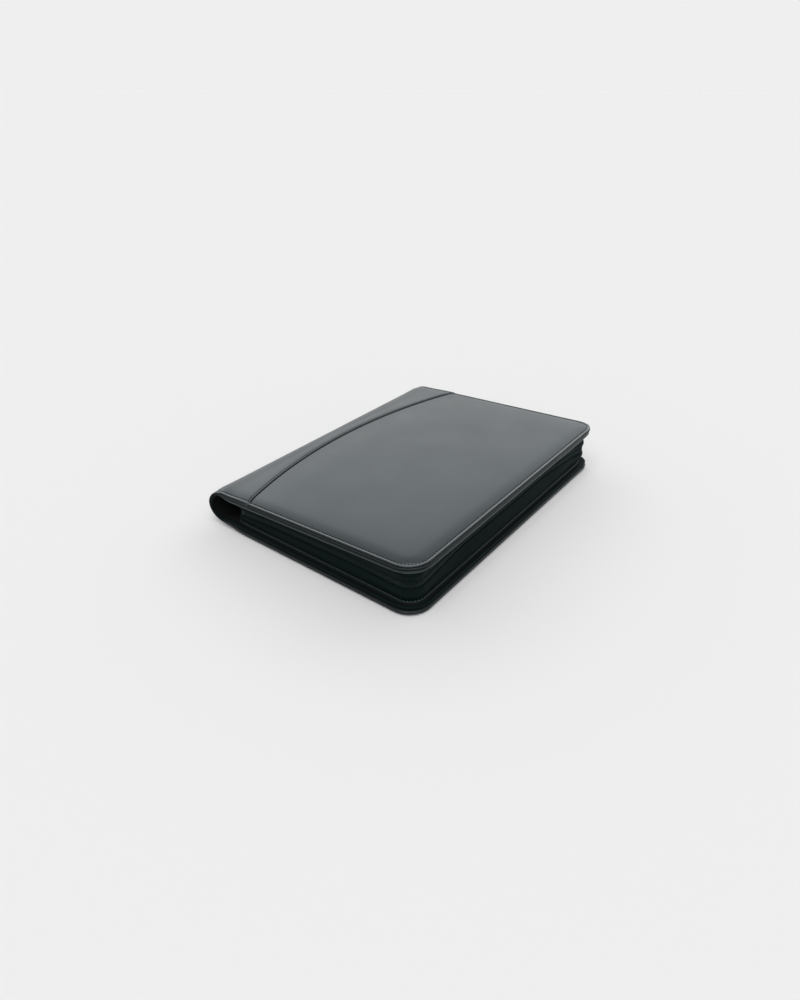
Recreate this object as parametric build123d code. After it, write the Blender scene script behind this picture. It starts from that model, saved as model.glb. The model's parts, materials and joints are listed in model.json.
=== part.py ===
from build123d import *
import math
import os

# A zippered padfolio, closed and lying on its back cover. The spine is on the left (-X), the fore edge on
# the right (+X) and the head at the far end (+Y). The origin is under the middle of the part, on the surface
# that it lies on. Every size is in millimetres.

# Writing pad that the padfolio is made for, and the room round it
pad_width = 216.0
pad_length = 279.0
pad_backing = 1.0
pad_sheets = 6.0
pad_spine_margin = 13.05
pad_end_margin = 29.25
binding = 0.4
binding_width = 15.0

# Sleeve that holds the pad by its backing
sleeve = 1.0
sleeve_rail = 2.0
sleeve_slot_gap = 0.3
sleeve_setback = 39.5
sleeve_clearance = 2.6

# Outer form
spine_height = 43.5
fore_height = 56.3
corner_radius = 24.0

# Layers of a cover, from its outer face inwards
leather = 1.0
edge_padding = 0.4
crown = 1.5
board = 1.6
lining = 4.5
layer_gap = 0.1

# Edges of a cover
rim_width = 4.0
crown_run = 12.0
turn_in_width = 12.0
lining_inset = 0.8
board_margin = 1.4

# Rounded spine
fold_angle = 40.0
fold_gap = 0.3
spine_wall = 4.5
spine_stiffener = 1.6
stiffener_margin = 18.0
hinge_gap = 3.0

# Arched seam between the front cover's yoke and its main panel, measured from where the spine's round starts.
# The yoke is narrowest a little nearer the tail
yoke_middle = 13.05
yoke_side = 44.6
yoke_shift = -10.3
yoke_lap = 8.0
yoke_join = 4.0
yoke_rise = 0.8

# Gusset that stands round the edge and carries the zip
gusset_inset = 8.0
gusset_wall = 1.5
gusset_foot = 1.6
gusset_foot_reach = 1.5
gusset_setback = 10.05
return_radius = 8.0
return_leg = 4.0

# Zip tapes, coils and stops
tape = 0.6
tape_width = 9.0
tape_gap = 0.4
coil_depth = 1.2
coil_width = 2.6
coil_root = 0.9
coil_reach = 0.7
tooth_pitch = 1.5
tooth_width = 0.6
stop_length = 2.5
stop_gap = 0.5

# Zip slider and its pull
slider_length = 13.0
slider_plate = 1.2
slider_flange = 0.6
slider_clearance = 0.4
slider_corner = 1.6
post_setback = 1.0
post_length = 2.0
post_half = 0.9
bridge_length = 8.0
bridge_half = 0.9
bridge_bar = 1.0
bridge_leg = 1.2
pull_bar = 0.6
pull_play = 0.25
pull_arm = 1.2
pull_length = 30.0
pull_hole = 1.3

# Pockets on the front cover's lining
pocket = 1.0
pocket_margin = 9.0
pocket_lip = 25.0
pocket_dip = 12.0
pocket_corner = 4.0
card_pocket = 0.8
card_width = 100.0
card_height = 60.0
card_step = 15.0
card_count = 3
window_height = 72.0
window_border = 8.0
window_film = 0.4
phone_height = 140.0

# Elastic pen loop in the spine
loop_bore = 5.6
loop_wall = 1.2
loop_length = 30.0
loop_seat = 4.0

# Levels of a cover above its outer face
board_level = leather + edge_padding + crown
turn_in_level = board_level + board
turn_in_top = turn_in_level + leather
inner_level = turn_in_top + lining

# Overall size, from the pad outwards
nose_radius = spine_height / 2
gusset_depth = gusset_inset + gusset_wall + tape
sleeve_edge = sleeve_slot_gap + sleeve_rail
back_span = pad_spine_margin + pad_width + sleeve_edge + sleeve_clearance + gusset_depth
half_width = (nose_radius + back_span) / 2
half_length = pad_length / 2 + pad_end_margin + gusset_depth
nose_x = nose_radius - half_width
back_right = nose_x + back_span
reach = 4 * half_length

# The back cover lies flat and the front cover rises from the spine to the fore edge. The zip lies in the
# plane halfway between their outer faces, and what is alike on both covers is mirrored in it.
rise = fore_height - nose_radius
run = half_width - nose_x
wedge = math.acos(nose_radius / math.hypot(rise, run)) - math.atan2(run, rise)
zip_tilt = wedge / 2
zip_along = Vector(math.cos(zip_tilt), 0, math.sin(zip_tilt))
zip_up = Vector(-math.sin(zip_tilt), 0, math.cos(zip_tilt))
zip_plane = Plane(origin=(nose_x, 0, nose_radius), x_dir=zip_along, z_dir=zip_up)
apex_x = nose_x - nose_radius / math.tan(zip_tilt)
front_right = apex_x + (half_width - apex_x - turn_in_top * math.sin(wedge)) / math.cos(wedge)

# Folds where the spine bends, as angles about the middle of its round
fold_low = 180 + math.degrees(zip_tilt) + fold_angle
fold_high = 180 + math.degrees(zip_tilt) - fold_angle
fold_gap_angle = math.degrees(fold_gap / nose_radius)
spine_core = max(spine_stiffener + layer_gap, crown)

# Gusset and zip in the zip plane, measured from the middle of the spine's round
gusset_fore = back_span - gusset_inset
gusset_side = half_length - gusset_inset
gusset_corner = corner_radius - gusset_inset
corner_x = gusset_fore - gusset_corner
corner_y = gusset_side - gusset_corner
return_x = gusset_setback + return_radius
return_y = gusset_side - return_radius
coil_face = gusset_wall - coil_depth
gusset_opening = 2 * (coil_width + slider_clearance + slider_flange + slider_clearance)
stop_x = return_x + stop_gap
chain_start = stop_x + stop_length + stop_gap
slider_front = stop_x + stop_length + stop_gap
slider_x = slider_front + slider_length / 2
mouth_half = post_half + slider_clearance
mouth_end = slider_front + post_setback + post_length + slider_clearance

# Pad, sleeve and pocket places
pad_left = nose_x + pad_spine_margin
pad_right = pad_left + pad_width
pad_end = pad_length / 2
sleeve_left = pad_left - sleeve_edge
sleeve_right = pad_right + sleeve_edge
sleeve_bottom = -pad_end - sleeve_edge
sheets_level = inner_level + pad_backing + sleeve
pocket_level = inner_level + pocket
card_left = sleeve_right - pocket_margin - card_width
window_bottom = sleeve_bottom + pocket_margin
card_bottom = window_bottom + window_height + pocket_margin
card_top = card_bottom + card_height + card_step * (card_count - 1)

# Padding comes up from the stitched rim through three stations: share of the run, share of the crown lost
crown_stations = [(0.0, 1.0), (0.35, 0.4), (1.0, 0.0)]


def to_front(solid):
    """A solid laid out on the back cover, moved to the same place on the front cover."""
    return mirror(solid, about=zip_plane)


def plate(x0, x1, y0, y1, level, thickness):
    """A flat rectangular piece."""
    middle = Pos((x0 + x1) / 2, (y0 + y1) / 2, level + thickness / 2)
    return middle * Box(x1 - x0, y1 - y0, thickness)


def rounded_plate(x0, x1, y0, y1, level, thickness):
    """A flat rectangular piece with rounded corners."""
    return fillet(plate(x0, x1, y0, y1, level, thickness).edges().filter_by(Axis.Z), pocket_corner)


def cover_outline(right, inset, left):
    """Outline of a cover, drawn in by inset on its three free sides."""
    edge = right - inset
    outline = Pos((left + edge) / 2, 0) * Rectangle(edge - left, 2 * (half_length - inset))
    return fillet(outline.vertices().group_by(Axis.X)[-1], max(corner_radius - inset, leather))


def slab(right, inset, left, level, top):
    """A flat panel with a cover's outline, between two levels."""
    return Pos(0, 0, level) * extrude(cover_outline(right, inset, left), top - level)


def crowned_slab(right, inset, left, level, top):
    """A panel whose outer face stands proud of its rim by the crown."""
    outlines = [
        Pos(0, 0, level + crown * loss) * cover_outline(right, inset + rim_width + crown_run * share, left)
        for share, loss in crown_stations
    ]
    return slab(right, inset, left, level + crown, top) + loft(outlines, ruled=True)


def crowned_depths(depth, half):
    """Depth of a crowned layer under the spine's face, from its end inwards."""
    rim = half_length - rim_width
    slope = [(rim - crown_run * share, depth + crown * loss) for share, loss in crown_stations]
    return [(half, depth + crown)] + slope


def nose_layer(outer, inner, start, end):
    """A layer of the rounded spine from one angle to another; its sides list distance along and depth."""
    outside = [(nose_radius - depth, y) for y, depth in outer]
    inside = [(nose_radius - depth, y) for y, depth in inner]
    points = outside + [(x, -y) for x, y in reversed(outside)]
    points += [(x, -y) for x, y in inside] + inside[::-1]
    section = make_face(Polyline(*points, close=True))
    return Pos(nose_x, 0, nose_radius) * Rot(0, -end, 0) * revolve(section, Axis.Y, end - start)


def cover_leather(right):
    """Outer leather of a cover, from the spine's fold to the edges turned in over the board."""
    shell = crowned_slab(right, 0, nose_x, 0, turn_in_top)
    shell -= crowned_slab(right, leather, nose_x - 1, leather, turn_in_level)
    shell -= slab(right, turn_in_width, nose_x - 1, turn_in_level, turn_in_top)
    bend = nose_layer(crowned_depths(0, half_length), crowned_depths(leather, half_length), fold_low, 270)
    return shell + bend


def cover_padding(right):
    """Foam between the leather and the board."""
    return crowned_slab(right, leather + layer_gap, nose_x + hinge_gap, leather, board_level)


def cover_board(right):
    """Stiff board under the foam."""
    return slab(right, board_margin, nose_x + hinge_gap, board_level, turn_in_level)


def cover_lining(right):
    """Padded lining panel, stepped over the turned-in leather and carried round to the spine's fold."""
    panel = slab(right, lining_inset, nose_x, turn_in_level, inner_level)
    turned_in = slab(right, 0, nose_x - 1, turn_in_level, turn_in_top)
    turned_in -= slab(right, turn_in_width + layer_gap, nose_x - 1, turn_in_level, turn_in_top)
    half = half_length - leather - layer_gap
    strip_level = leather + crown + layer_gap
    strip_edge = nose_x + hinge_gap - layer_gap
    strip = plate(nose_x, strip_edge, -half, half, strip_level, turn_in_level - strip_level)
    bend = nose_layer(crowned_depths(leather + layer_gap, half), [(half, spine_wall)], fold_low, 270)
    return (panel - turned_in) + strip + bend


def spine_strip(outer, inner):
    """A layer of the spine between its two folds."""
    return nose_layer(outer, inner, fold_high + fold_gap_angle, fold_low - fold_gap_angle)


def spine_layers():
    """Leather, stiffener and lining of the spine between its folds."""
    outer_skin = spine_strip(crowned_depths(0, half_length), crowned_depths(leather, half_length))
    core_half = half_length - stiffener_margin
    core_depth = leather + layer_gap
    core = spine_strip([(core_half, core_depth)], [(core_half, core_depth + spine_stiffener)])
    skin_half = half_length - lining_inset
    skin_depth = leather + spine_core + layer_gap
    inner_skin = spine_strip([(skin_half, skin_depth)], [(skin_half, spine_wall)])
    return outer_skin, core, inner_skin


def pen_loop():
    """Elastic loop sewn to the middle of the spine's lining, with its seat."""
    hollow = nose_radius - spine_wall
    outer = loop_bore + loop_wall
    centre = outer - hollow
    loop = Pos(centre, 0, 0) * Rot(90, 0, 0) * Cylinder(outer, loop_length)
    seat = Pos((centre - hollow) / 2, 0, 0) * Box(hollow + centre, loop_length, 2 * loop_seat)
    seat &= Rot(90, 0, 0) * Cylinder(hollow, loop_length)
    bore = Pos(centre, 0, 0) * Rot(90, 0, 0) * Cylinder(loop_bore, loop_length)
    return zip_plane * (loop + seat - bore)


def seam_disc(growth):
    """All that lies on the fore-edge side of the arched seam, grown towards the spine."""
    sag = yoke_side - yoke_middle
    radius = (half_length**2 + sag**2) / (2 * sag)
    return Pos(nose_x + yoke_middle + radius, yoke_shift, 0) * Cylinder(radius + growth, reach)


def front_leather():
    """Main panel of the front cover, and the yoke that laps over it along the arched seam."""
    shell = cover_leather(front_right)
    panel = shell & seam_disc(yoke_lap)
    skin = crowned_slab(front_right, 0, nose_x, -yoke_rise, turn_in_top)
    skin -= crowned_slab(front_right, 0, nose_x, 0, turn_in_top)
    lap = (skin & seam_disc(yoke_lap + yoke_join)) - seam_disc(0)
    yoke = (shell - seam_disc(yoke_lap)) + lap
    return to_front(panel), to_front(yoke)


def wall_path(inset):
    """Near half of the gusset's line in the zip plane, at a distance inside its outer face."""
    turn = gusset_setback + inset
    side = inset - gusset_side
    return [
        Line((turn, return_leg - return_y), (turn, -return_y)),
        CenterArc((return_x, -return_y), return_radius - inset, 180, 90),
        Line((return_x, side), (corner_x, side)),
        CenterArc((corner_x, -corner_y), gusset_corner - inset, 270, 90),
        Line((gusset_fore - inset, -corner_y), (gusset_fore - inset, 0)),
    ]


def wall(outer, inner, low, high):
    """A band of the gusset's wall between two depths and two heights over the zip plane."""
    outside = wall_path(outer)
    inside = wall_path(inner)
    ends = [Line(outside[0] @ 0, inside[0] @ 0), Line(outside[-1] @ 1, inside[-1] @ 1)]
    near = extrude(make_face(outside + inside + ends), high - low)
    return zip_plane * Pos(0, 0, low) * (near + mirror(near, about=Plane.XZ))


def gusset():
    """Leather wall from the lining up to the zip, with the sewn foot that it stands on."""
    side = wall(0, gusset_wall, -fore_height, -gusset_opening / 2)
    side -= plate(-reach, reach, -reach, reach, inner_level - reach, reach)
    foot = wall(-gusset_foot_reach, gusset_wall, -fore_height, 0)
    foot &= plate(-reach, reach, -reach, reach, inner_level, gusset_foot)
    return side + foot


def zip_tape():
    """Woven tape behind the gusset's edge, open at the mouth where the slider's post stands."""
    band = wall(gusset_wall, gusset_wall + tape, -tape_width, -tape_gap / 2)
    mouth = plate(0, mouth_end, return_y, half_length, -mouth_half, 2 * mouth_half)
    return band - zip_plane * mouth


def comb(length, phase):
    """Side view of a straight run of coil: its root and the teeth that stand up from it."""
    count = int(length / tooth_pitch)
    points = [(0, -coil_width), (0, -coil_root)]
    for index in range(count):
        middle = (index + phase) * length / count
        left = middle - tooth_width / 2
        right = middle + tooth_width / 2
        points += [(left, -coil_root), (left, coil_reach), (right, coil_reach), (right, -coil_root)]
    points += [(length, -coil_root), (length, -coil_width)]
    return make_face(Polyline(*points, close=True))


def coil_corner(phase):
    """A quarter turn of coil about the origin."""
    outer = gusset_corner - coil_face
    middle = outer - coil_depth / 2
    count = int(math.pi / 2 * middle / tooth_pitch)
    tooth_turn = math.degrees(tooth_width / middle)
    root_middle = -(coil_width + coil_root) / 2
    tooth_middle = (coil_reach - coil_root) / 2
    root = Plane.XZ * Pos(middle, root_middle) * Rectangle(coil_depth, coil_width - coil_root)
    tooth = Plane.XZ * Pos(middle, tooth_middle) * Rectangle(coil_depth, coil_reach + coil_root)
    teeth = [
        Rot(0, 0, 90 * (index + phase) / count - tooth_turn / 2) * revolve(tooth, Axis.Z, tooth_turn)
        for index in range(count)
    ]
    return revolve(root, Axis.Z, 90) + teeth


def zip_coil(phase):
    """One row of zip coil, from the bottom stop round both corners to the slider's mouth."""
    seat_side = gusset_side - gusset_wall
    seat_fore = gusset_fore - gusset_wall
    near = Plane(origin=(chain_start, -seat_side, 0), x_dir=(1, 0, 0), z_dir=(0, -1, 0))
    fore = Plane(origin=(seat_fore, -corner_y, 0), x_dir=(0, 1, 0), z_dir=(1, 0, 0))
    far = Plane(origin=(corner_x, seat_side, 0), x_dir=(-1, 0, 0), z_dir=(0, 1, 0))
    turn = coil_corner(phase)
    near_run = extrude(near * comb(corner_x - chain_start, phase), coil_depth)
    fore_run = extrude(fore * comb(2 * corner_y, phase), coil_depth)
    far_run = extrude(far * comb(corner_x - mouth_end, phase), coil_depth)
    near_turn = Pos(corner_x, -corner_y, 0) * Rot(0, 0, -90) * turn
    far_turn = Pos(corner_x, corner_y, 0) * turn
    return zip_plane * (near_run + [near_turn, fore_run, far_turn, far_run])


def zip_stop(side, low, high):
    """A stop crimped on the tape at one end of the chain, side -1 near and +1 far."""
    seats = sorted([side * (gusset_side - gusset_wall), side * (gusset_side - coil_face)])
    return zip_plane * plate(stop_x, stop_x + stop_length, seats[0], seats[1], low, high - low)


# Slider and pull are drawn with x along the chain, y across it and z out of the gusset's face
slider_origin = zip_plane.from_local_coords((slider_x, gusset_side, 0))
slider_plane = Plane(origin=slider_origin, x_dir=zip_along, z_dir=(0, 1, 0))
slider_half = gusset_opening / 2 - slider_clearance
face_level = slider_clearance - coil_face
bridge_level = face_level + slider_plate
pull_level = bridge_level + pull_play + pull_bar


def slider_wing(level):
    """A plate of the slider with rounded corners."""
    half = slider_length / 2
    wing = plate(-half, half, -slider_half, slider_half, level, slider_plate)
    return fillet(wing.edges().filter_by(Axis.Z), slider_corner)


def slider_bridge():
    """Bridge on the slider's face that the pull's crossbar turns under."""
    half = bridge_length / 2
    gap_half = half - bridge_leg
    gap_height = 2 * (pull_bar + pull_play)
    arch = plate(-half, half, -bridge_half, bridge_half, bridge_level, gap_height + bridge_bar)
    return arch - plate(-gap_half, gap_half, -bridge_half, bridge_half, bridge_level, gap_height)


def zip_slider():
    """Slider body: outer and inner plates, flanges, the post between the plates and the pull's bridge."""
    back_level = -gusset_wall - tape - slider_clearance - slider_plate
    post_x = post_setback - slider_length / 2
    post = plate(post_x, post_x + post_length, -post_half, post_half, back_level, face_level - back_level)
    flange_end = slider_length / 2 - slider_corner
    flange_low = slider_clearance - gusset_wall
    flange_side = slider_half - slider_flange
    flange = plate(-flange_end, flange_end, flange_side, slider_half, flange_low, bridge_level - flange_low)
    wings = slider_wing(face_level) + slider_wing(back_level)
    return slider_plane * (wings + post + flange + mirror(flange, about=Plane.XZ) + slider_bridge())


def zip_pull():
    """Pull: a crossbar under the bridge, two arms beside it and a tab with a hole near its end."""
    arm_inner = bridge_half + slider_clearance
    arm_outer = arm_inner + pull_arm
    eye = bridge_length / 2 + 2 * slider_clearance
    bar = Rot(90, 0, 0) * Cylinder(pull_bar, 2 * arm_outer)
    arms = plate(-eye, 0, -arm_outer, arm_outer, -pull_bar, 2 * pull_bar)
    arms -= plate(-eye, pull_bar, -arm_inner, arm_inner, -pull_bar, 2 * pull_bar)
    tab = plate(arm_outer - pull_length, -eye, -arm_outer, arm_outer, -pull_bar, 2 * pull_bar)
    tab += Pos(arm_outer - pull_length, 0, 0) * Cylinder(arm_outer, 2 * pull_bar)
    tab -= Pos(arm_outer - pull_length, 0, 0) * Cylinder(pull_hole, 2 * pull_bar)
    return slider_plane * Pos(0, 0, pull_level) * (bar + arms + tab)


def pad_sleeve():
    """Sleeve sewn to the back lining on three sides, with the slot that the pad's backing slides into."""
    top = pad_end - sleeve_setback
    body = plate(sleeve_left, sleeve_right, sleeve_bottom, top, inner_level, pad_backing + sleeve)
    slot_left = pad_left - sleeve_slot_gap
    slot_right = pad_right + sleeve_slot_gap
    return body - plate(slot_left, slot_right, -pad_end - sleeve_slot_gap, top, inner_level, pad_backing)


def pad_binding():
    """Binding strip over the pad's head, with the glue between the sheets and the backing."""
    start = pad_end - binding_width
    top = sheets_level + pad_sheets
    cap = plate(pad_left, pad_right, start, pad_end + binding, top, binding)
    end = plate(pad_left, pad_right, pad_end, pad_end + binding, inner_level, top - inner_level)
    glue = plate(pad_left, pad_right, start, pad_end, inner_level + pad_backing, sleeve)
    return cap + end + glue


def document_pocket():
    """Large flat pocket across the front lining, with a dip in its open edge."""
    top = card_top + pocket_lip
    panel = rounded_plate(sleeve_left, sleeve_right, sleeve_bottom, top, inner_level, pocket)
    half = (sleeve_right - sleeve_left) / 2 - pocket_corner
    dip_radius = (half**2 + pocket_dip**2) / (2 * pocket_dip)
    dip_middle = Pos((sleeve_left + sleeve_right) / 2, top - pocket_dip + dip_radius, inner_level)
    return panel - dip_middle * Cylinder(dip_radius, 4 * pocket)


def card_pocket_layer(index):
    """One of the stepped card pockets, the tallest lowest in the stack."""
    top = card_top - card_step * index
    level = pocket_level + card_pocket * index
    return rounded_plate(card_left, card_left + card_width, card_bottom, top, level, card_pocket)


def window_pieces():
    """Clear identity-card window and the frame sewn round it."""
    right = card_left + card_width
    top = window_bottom + window_height
    frame = rounded_plate(card_left, right, window_bottom, top, pocket_level, pocket)
    border = window_border
    hole_top = top - border
    frame -= plate(card_left + border, right - border, window_bottom + border, hole_top, pocket_level, pocket)
    edge = border + layer_gap
    film = plate(card_left + edge, right - edge, window_bottom + edge, top - edge, pocket_level, window_film)
    return frame, film


def phone_pocket():
    """Upright pocket beside the spine for a phone or calculator."""
    left = sleeve_left + pocket_margin
    right = card_left - pocket_margin
    return rounded_plate(left, right, window_bottom, window_bottom + phone_height, pocket_level, pocket)


def build():
    """Every piece of the padfolio by name."""
    pieces = {}
    pieces["back_cover_leather"] = cover_leather(back_right)
    pieces["back_padding"] = cover_padding(back_right)
    pieces["back_board"] = cover_board(back_right)
    pieces["back_lining"] = cover_lining(back_right)
    pieces["spine_leather"], pieces["spine_stiffener"], pieces["spine_lining"] = spine_layers()
    pieces["pen_loop"] = pen_loop()
    pieces["front_cover_leather"], pieces["front_yoke"] = front_leather()
    pieces["front_padding"] = to_front(cover_padding(front_right))
    pieces["front_board"] = to_front(cover_board(front_right))
    pieces["front_lining"] = to_front(cover_lining(front_right))
    pieces["lower_gusset"] = gusset()
    pieces["upper_gusset"] = to_front(gusset())
    pieces["lower_zip_tape"] = zip_tape()
    pieces["upper_zip_tape"] = to_front(zip_tape())
    pieces["lower_zip_coil"] = zip_coil(0.25)
    pieces["upper_zip_coil"] = to_front(zip_coil(0.75))
    pieces["zip_bottom_stop"] = zip_stop(-1, -coil_width, coil_width)
    pieces["lower_top_stop"] = zip_stop(1, -coil_width, -mouth_half)
    pieces["upper_top_stop"] = zip_stop(1, mouth_half, coil_width)
    pieces["zip_slider"] = zip_slider()
    pieces["zip_pull"] = zip_pull()
    pieces["pad_backing"] = plate(pad_left, pad_right, -pad_end, pad_end, inner_level, pad_backing)
    pieces["pad_sheets"] = plate(pad_left, pad_right, -pad_end, pad_end, sheets_level, pad_sheets)
    pieces["pad_binding"] = pad_binding()
    pieces["pad_sleeve"] = pad_sleeve()
    pieces["document_pocket"] = to_front(document_pocket())
    pieces["phone_pocket"] = to_front(phone_pocket())
    for index in range(card_count):
        pieces[f"card_pocket_{index + 1}"] = to_front(card_pocket_layer(index))
    frame, film = window_pieces()
    pieces["window_frame"] = to_front(frame)
    pieces["window_film"] = to_front(film)
    return pieces


def fold_point(angle):
    """Point of a fold's line on the spine's face."""
    turn = math.radians(angle)
    return Vector(nose_x + nose_radius * math.cos(turn), 0, nose_radius * (1 + math.sin(turn)))


print("overall", 2 * half_width, 2 * half_length, "wedge", math.degrees(wedge))
print("folds", fold_point(fold_low), fold_point(fold_high), "each opens", 90 - math.degrees(zip_tilt))
print("zip along", zip_along, "travel", corner_x - slider_x - slider_length / 2 - stop_gap)
print("pull axis at", slider_plane.from_local_coords((0, 0, pull_level)), "about", -zip_up)

os.makedirs("parts", exist_ok=True)
for name, solid in build().items():
    export_step(solid, f"parts/{name}.step")
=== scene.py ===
import bisect
import json
import math

import bpy
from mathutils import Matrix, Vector


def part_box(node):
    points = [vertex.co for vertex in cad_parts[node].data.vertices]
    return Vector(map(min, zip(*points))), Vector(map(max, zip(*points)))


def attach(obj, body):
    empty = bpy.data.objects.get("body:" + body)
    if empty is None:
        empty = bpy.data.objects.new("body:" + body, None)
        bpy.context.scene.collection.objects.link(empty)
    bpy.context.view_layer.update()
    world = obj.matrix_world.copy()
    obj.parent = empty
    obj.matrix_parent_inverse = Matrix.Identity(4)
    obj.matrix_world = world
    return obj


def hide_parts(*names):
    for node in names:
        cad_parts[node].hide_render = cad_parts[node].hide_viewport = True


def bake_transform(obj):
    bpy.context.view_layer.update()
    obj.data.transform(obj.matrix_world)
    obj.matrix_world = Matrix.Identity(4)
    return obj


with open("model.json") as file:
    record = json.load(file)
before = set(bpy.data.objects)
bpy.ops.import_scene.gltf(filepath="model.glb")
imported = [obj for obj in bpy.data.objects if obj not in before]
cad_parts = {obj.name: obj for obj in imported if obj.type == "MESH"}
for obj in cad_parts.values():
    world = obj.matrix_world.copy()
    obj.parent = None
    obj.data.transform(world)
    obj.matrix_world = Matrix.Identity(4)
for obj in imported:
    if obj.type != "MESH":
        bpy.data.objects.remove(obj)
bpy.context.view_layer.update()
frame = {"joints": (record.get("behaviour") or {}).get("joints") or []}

# Pieces are drawn in millimetres and set in place in metres
mm = 0.001

# Folds, zip line and covers, read from the frame
joints = {joint["name"]: joint for joint in frame["joints"]}
low_fold = Vector(joints["spine_fold"]["pos_m"]) / mm
high_fold = Vector(joints["cover_fold"]["pos_m"]) / mm
zip_along = Vector(joints["zip_slide"]["axis"])
zip_up = Vector((-zip_along.z, 0, zip_along.x))
zip_tilt = math.atan2(zip_along.z, zip_along.x)
wedge = 2 * zip_tilt
fold_angle = math.radians(40)
nose_radius = (high_fold - low_fold).length / (2 * math.sin(fold_angle))
nose_middle = (low_fold + high_fold) / 2 + zip_along * (nose_radius * math.cos(fold_angle))
nose_x = nose_middle.x
apex_x = nose_x - nose_radius / math.tan(zip_tilt)
half_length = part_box("back_cover_leather")[1].y / mm
back_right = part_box("back_cover_leather")[1].x / mm
fore_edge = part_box("front_cover_leather")[1].x / mm

# Levels of a cover under its outer face, and its edge
crown = 1.5
rim_bottom = 5.5
inner_face = 10.0
spine_inner_face = 4.5
corner = 24.0
back_far_corner = 0.15
front_far_corner = 0.1
crown_start = 16.0
rim_width = 4.0
crown_power = 2.2
puff = 1.1
puff_run = 36.0
upper_bead = 0.75
lower_bead = 0.85
stitch_inset = 3.75
stitch_valley = -2.05
turn_in = 9.0
lining_inset = 0.8
lining_round = 1.5
lining_stitch_inset = 4.2
lining_border = 2.3
spine_rim_bottom = 3.2
spine_hem = 0.4
hem_width = 9.0
hem_slope = 4.0
rim_taper_start = 8.0
rim_taper = 20.0
lining_taper_start = 12.0
lining_taper = 26.0
lining_thickness = 0.5
stiffener_level = -1.2
stiffener_thickness = 1.4
stiffener_gap = 1.2
front_right = apex_x + (fore_edge - apex_x - rim_bottom * math.sin(wedge)) / math.cos(wedge)

# Spine, unrolled from the line where a cover's flat face starts to turn
spine_arc = nose_radius * (math.pi / 2 - zip_tilt)
fold_arc = spine_arc - nose_radius * fold_angle
fold_reach = spine_arc - fold_arc
roll_step = 0.85
panel_step = 6.0
corner_step = 0.8

# Flare of the spine's ends: the angle round the spine from its top, and how far they stand out there
flare_stops = [
    (0, 0), (30, 0.2), (60, 2.0), (90, 4.3), (117, 2.8), (145, -1.2), (170, -3.1), (200, -2.2), (250, 0),
]
flare_run = 38.0
flare_fill = 1.5

# Arched seam on the front cover
yoke_middle = 13.05
yoke_side = 44.6
yoke_shift = -10.3
yoke_rise = 0.8
yoke_fade = 14.0
yoke_fade_share = 0.85
yoke_thickness = 0.5
yoke_edge = 4.0
yoke_edge_slope = 2.0
yoke_step = 0.6
seam_zone = 6.0
seam_stitch_inset = 2.2
seam_valley = 0.5
panel_tuck = 8.0
tuck_slope = 1.5
tuck_draw = 0.9
tuck_lift = 0.6
tuck_level = -3.0
groove_depth = 1.45
groove_start = 0.3
groove_slope = 1.1
hollow_depth = 0.15
hollow_start = 1.0
hollow_slope = 3.0
groove_end = 2.5
groove_end_slope = 3.0
seam_sag = yoke_side - yoke_middle
seam_radius = (half_length**2 + seam_sag**2) / (2 * seam_sag)

# Gusset and zip, in the zip plane
gusset_inset = 8.0
gusset_wall = 1.5
gusset_setback = 10.05
return_radius = 8.0
return_leg = 4.0
gusset_edge = 4.0
tape_width = 9.0
tape_gap = 0.2
tape_thickness = 0.6
tape_clearance = 0.05
tooth_pitch = 1.5
tooth_half_width = 0.36
tooth_half_depth = 0.6
tooth_half_length = 1.65
tooth_middle = -0.95
tooth_lean = 0.14
tooth_tip = 0.75
coil_setback = 0.9
chain_near = 21.55
chain_far = 24.95
gusset_fore = back_right - nose_x - gusset_inset
gusset_side = half_length - gusset_inset
gusset_corner = corner - gusset_inset
return_x = gusset_setback + return_radius

# Slack of the gusset: how far its zip line stands out or is drawn in, and how far its wall swells
far_corner_out = 4.5
fore_draw = 5.0
near_draw = 2.0
fore_lead = 10.0
fore_ease_in = 90.0
fore_ease_out = 70.0
near_ease_in = 50.0
near_ease_out = 60.0
far_run_slider = 12.5
far_run_fore = 32.0
near_corner_run = 45.0
wall_start = 2.4
wall_short = 3.2
wall_swell = 0.6
corner_swell = 1.4
swell_start = 1.6

# Foam under the leather
foam_drop = 0.9
foam_floor = -2.8
foam_start = 3.0
foam_step = 3.0
foam_face = -2.5
channel_depth = 1.7
channel_before = 10.0
channel_in = 6.0
channel_after = 2.0
channel_out = 4.0

# Writing pad
page_stacks = 9
page_curl = 1.6
curl_reach = 90.0
page_gap = 0.2
page_head_gap = 0.6
page_lift = 0.06
page_thickness = 0.1
page_step = 4.0
stack_shift = 0.14
stack_slide = 0.1
stack_drop = 0.15
stack_round = 0.1
binding_thickness = 0.3
rule_pitch = 8.7
rule_width = 0.35
rule_top = 96.0
margin_line = 32.0

# Pockets on the front lining
patch_zone = 6.0
patch_stitch = 3.0
hem_stitch = 5.0
pocket_level = 11.0
pocket = 1.0
card_pocket = 0.8
pocket_dip = 12.0
dip_run = 60.0
mouth_slack = 0.5
mouth_run = 25.0
patch_step = 5.0
patch_stitch_sink = 0.16
window_border = 8.0
window_stitch = 2.2
window_stitch_up = 0.03
vinyl_gap = 0.25

# Pen loop, on the spine's lining
loop_radius = 6.2
loop_wall = 1.2
loop_half = 15.0
loop_flat = 0.5
loop_pinch = 0.012
loop_turn = math.radians(8)
loop_step = 1.5

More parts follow.
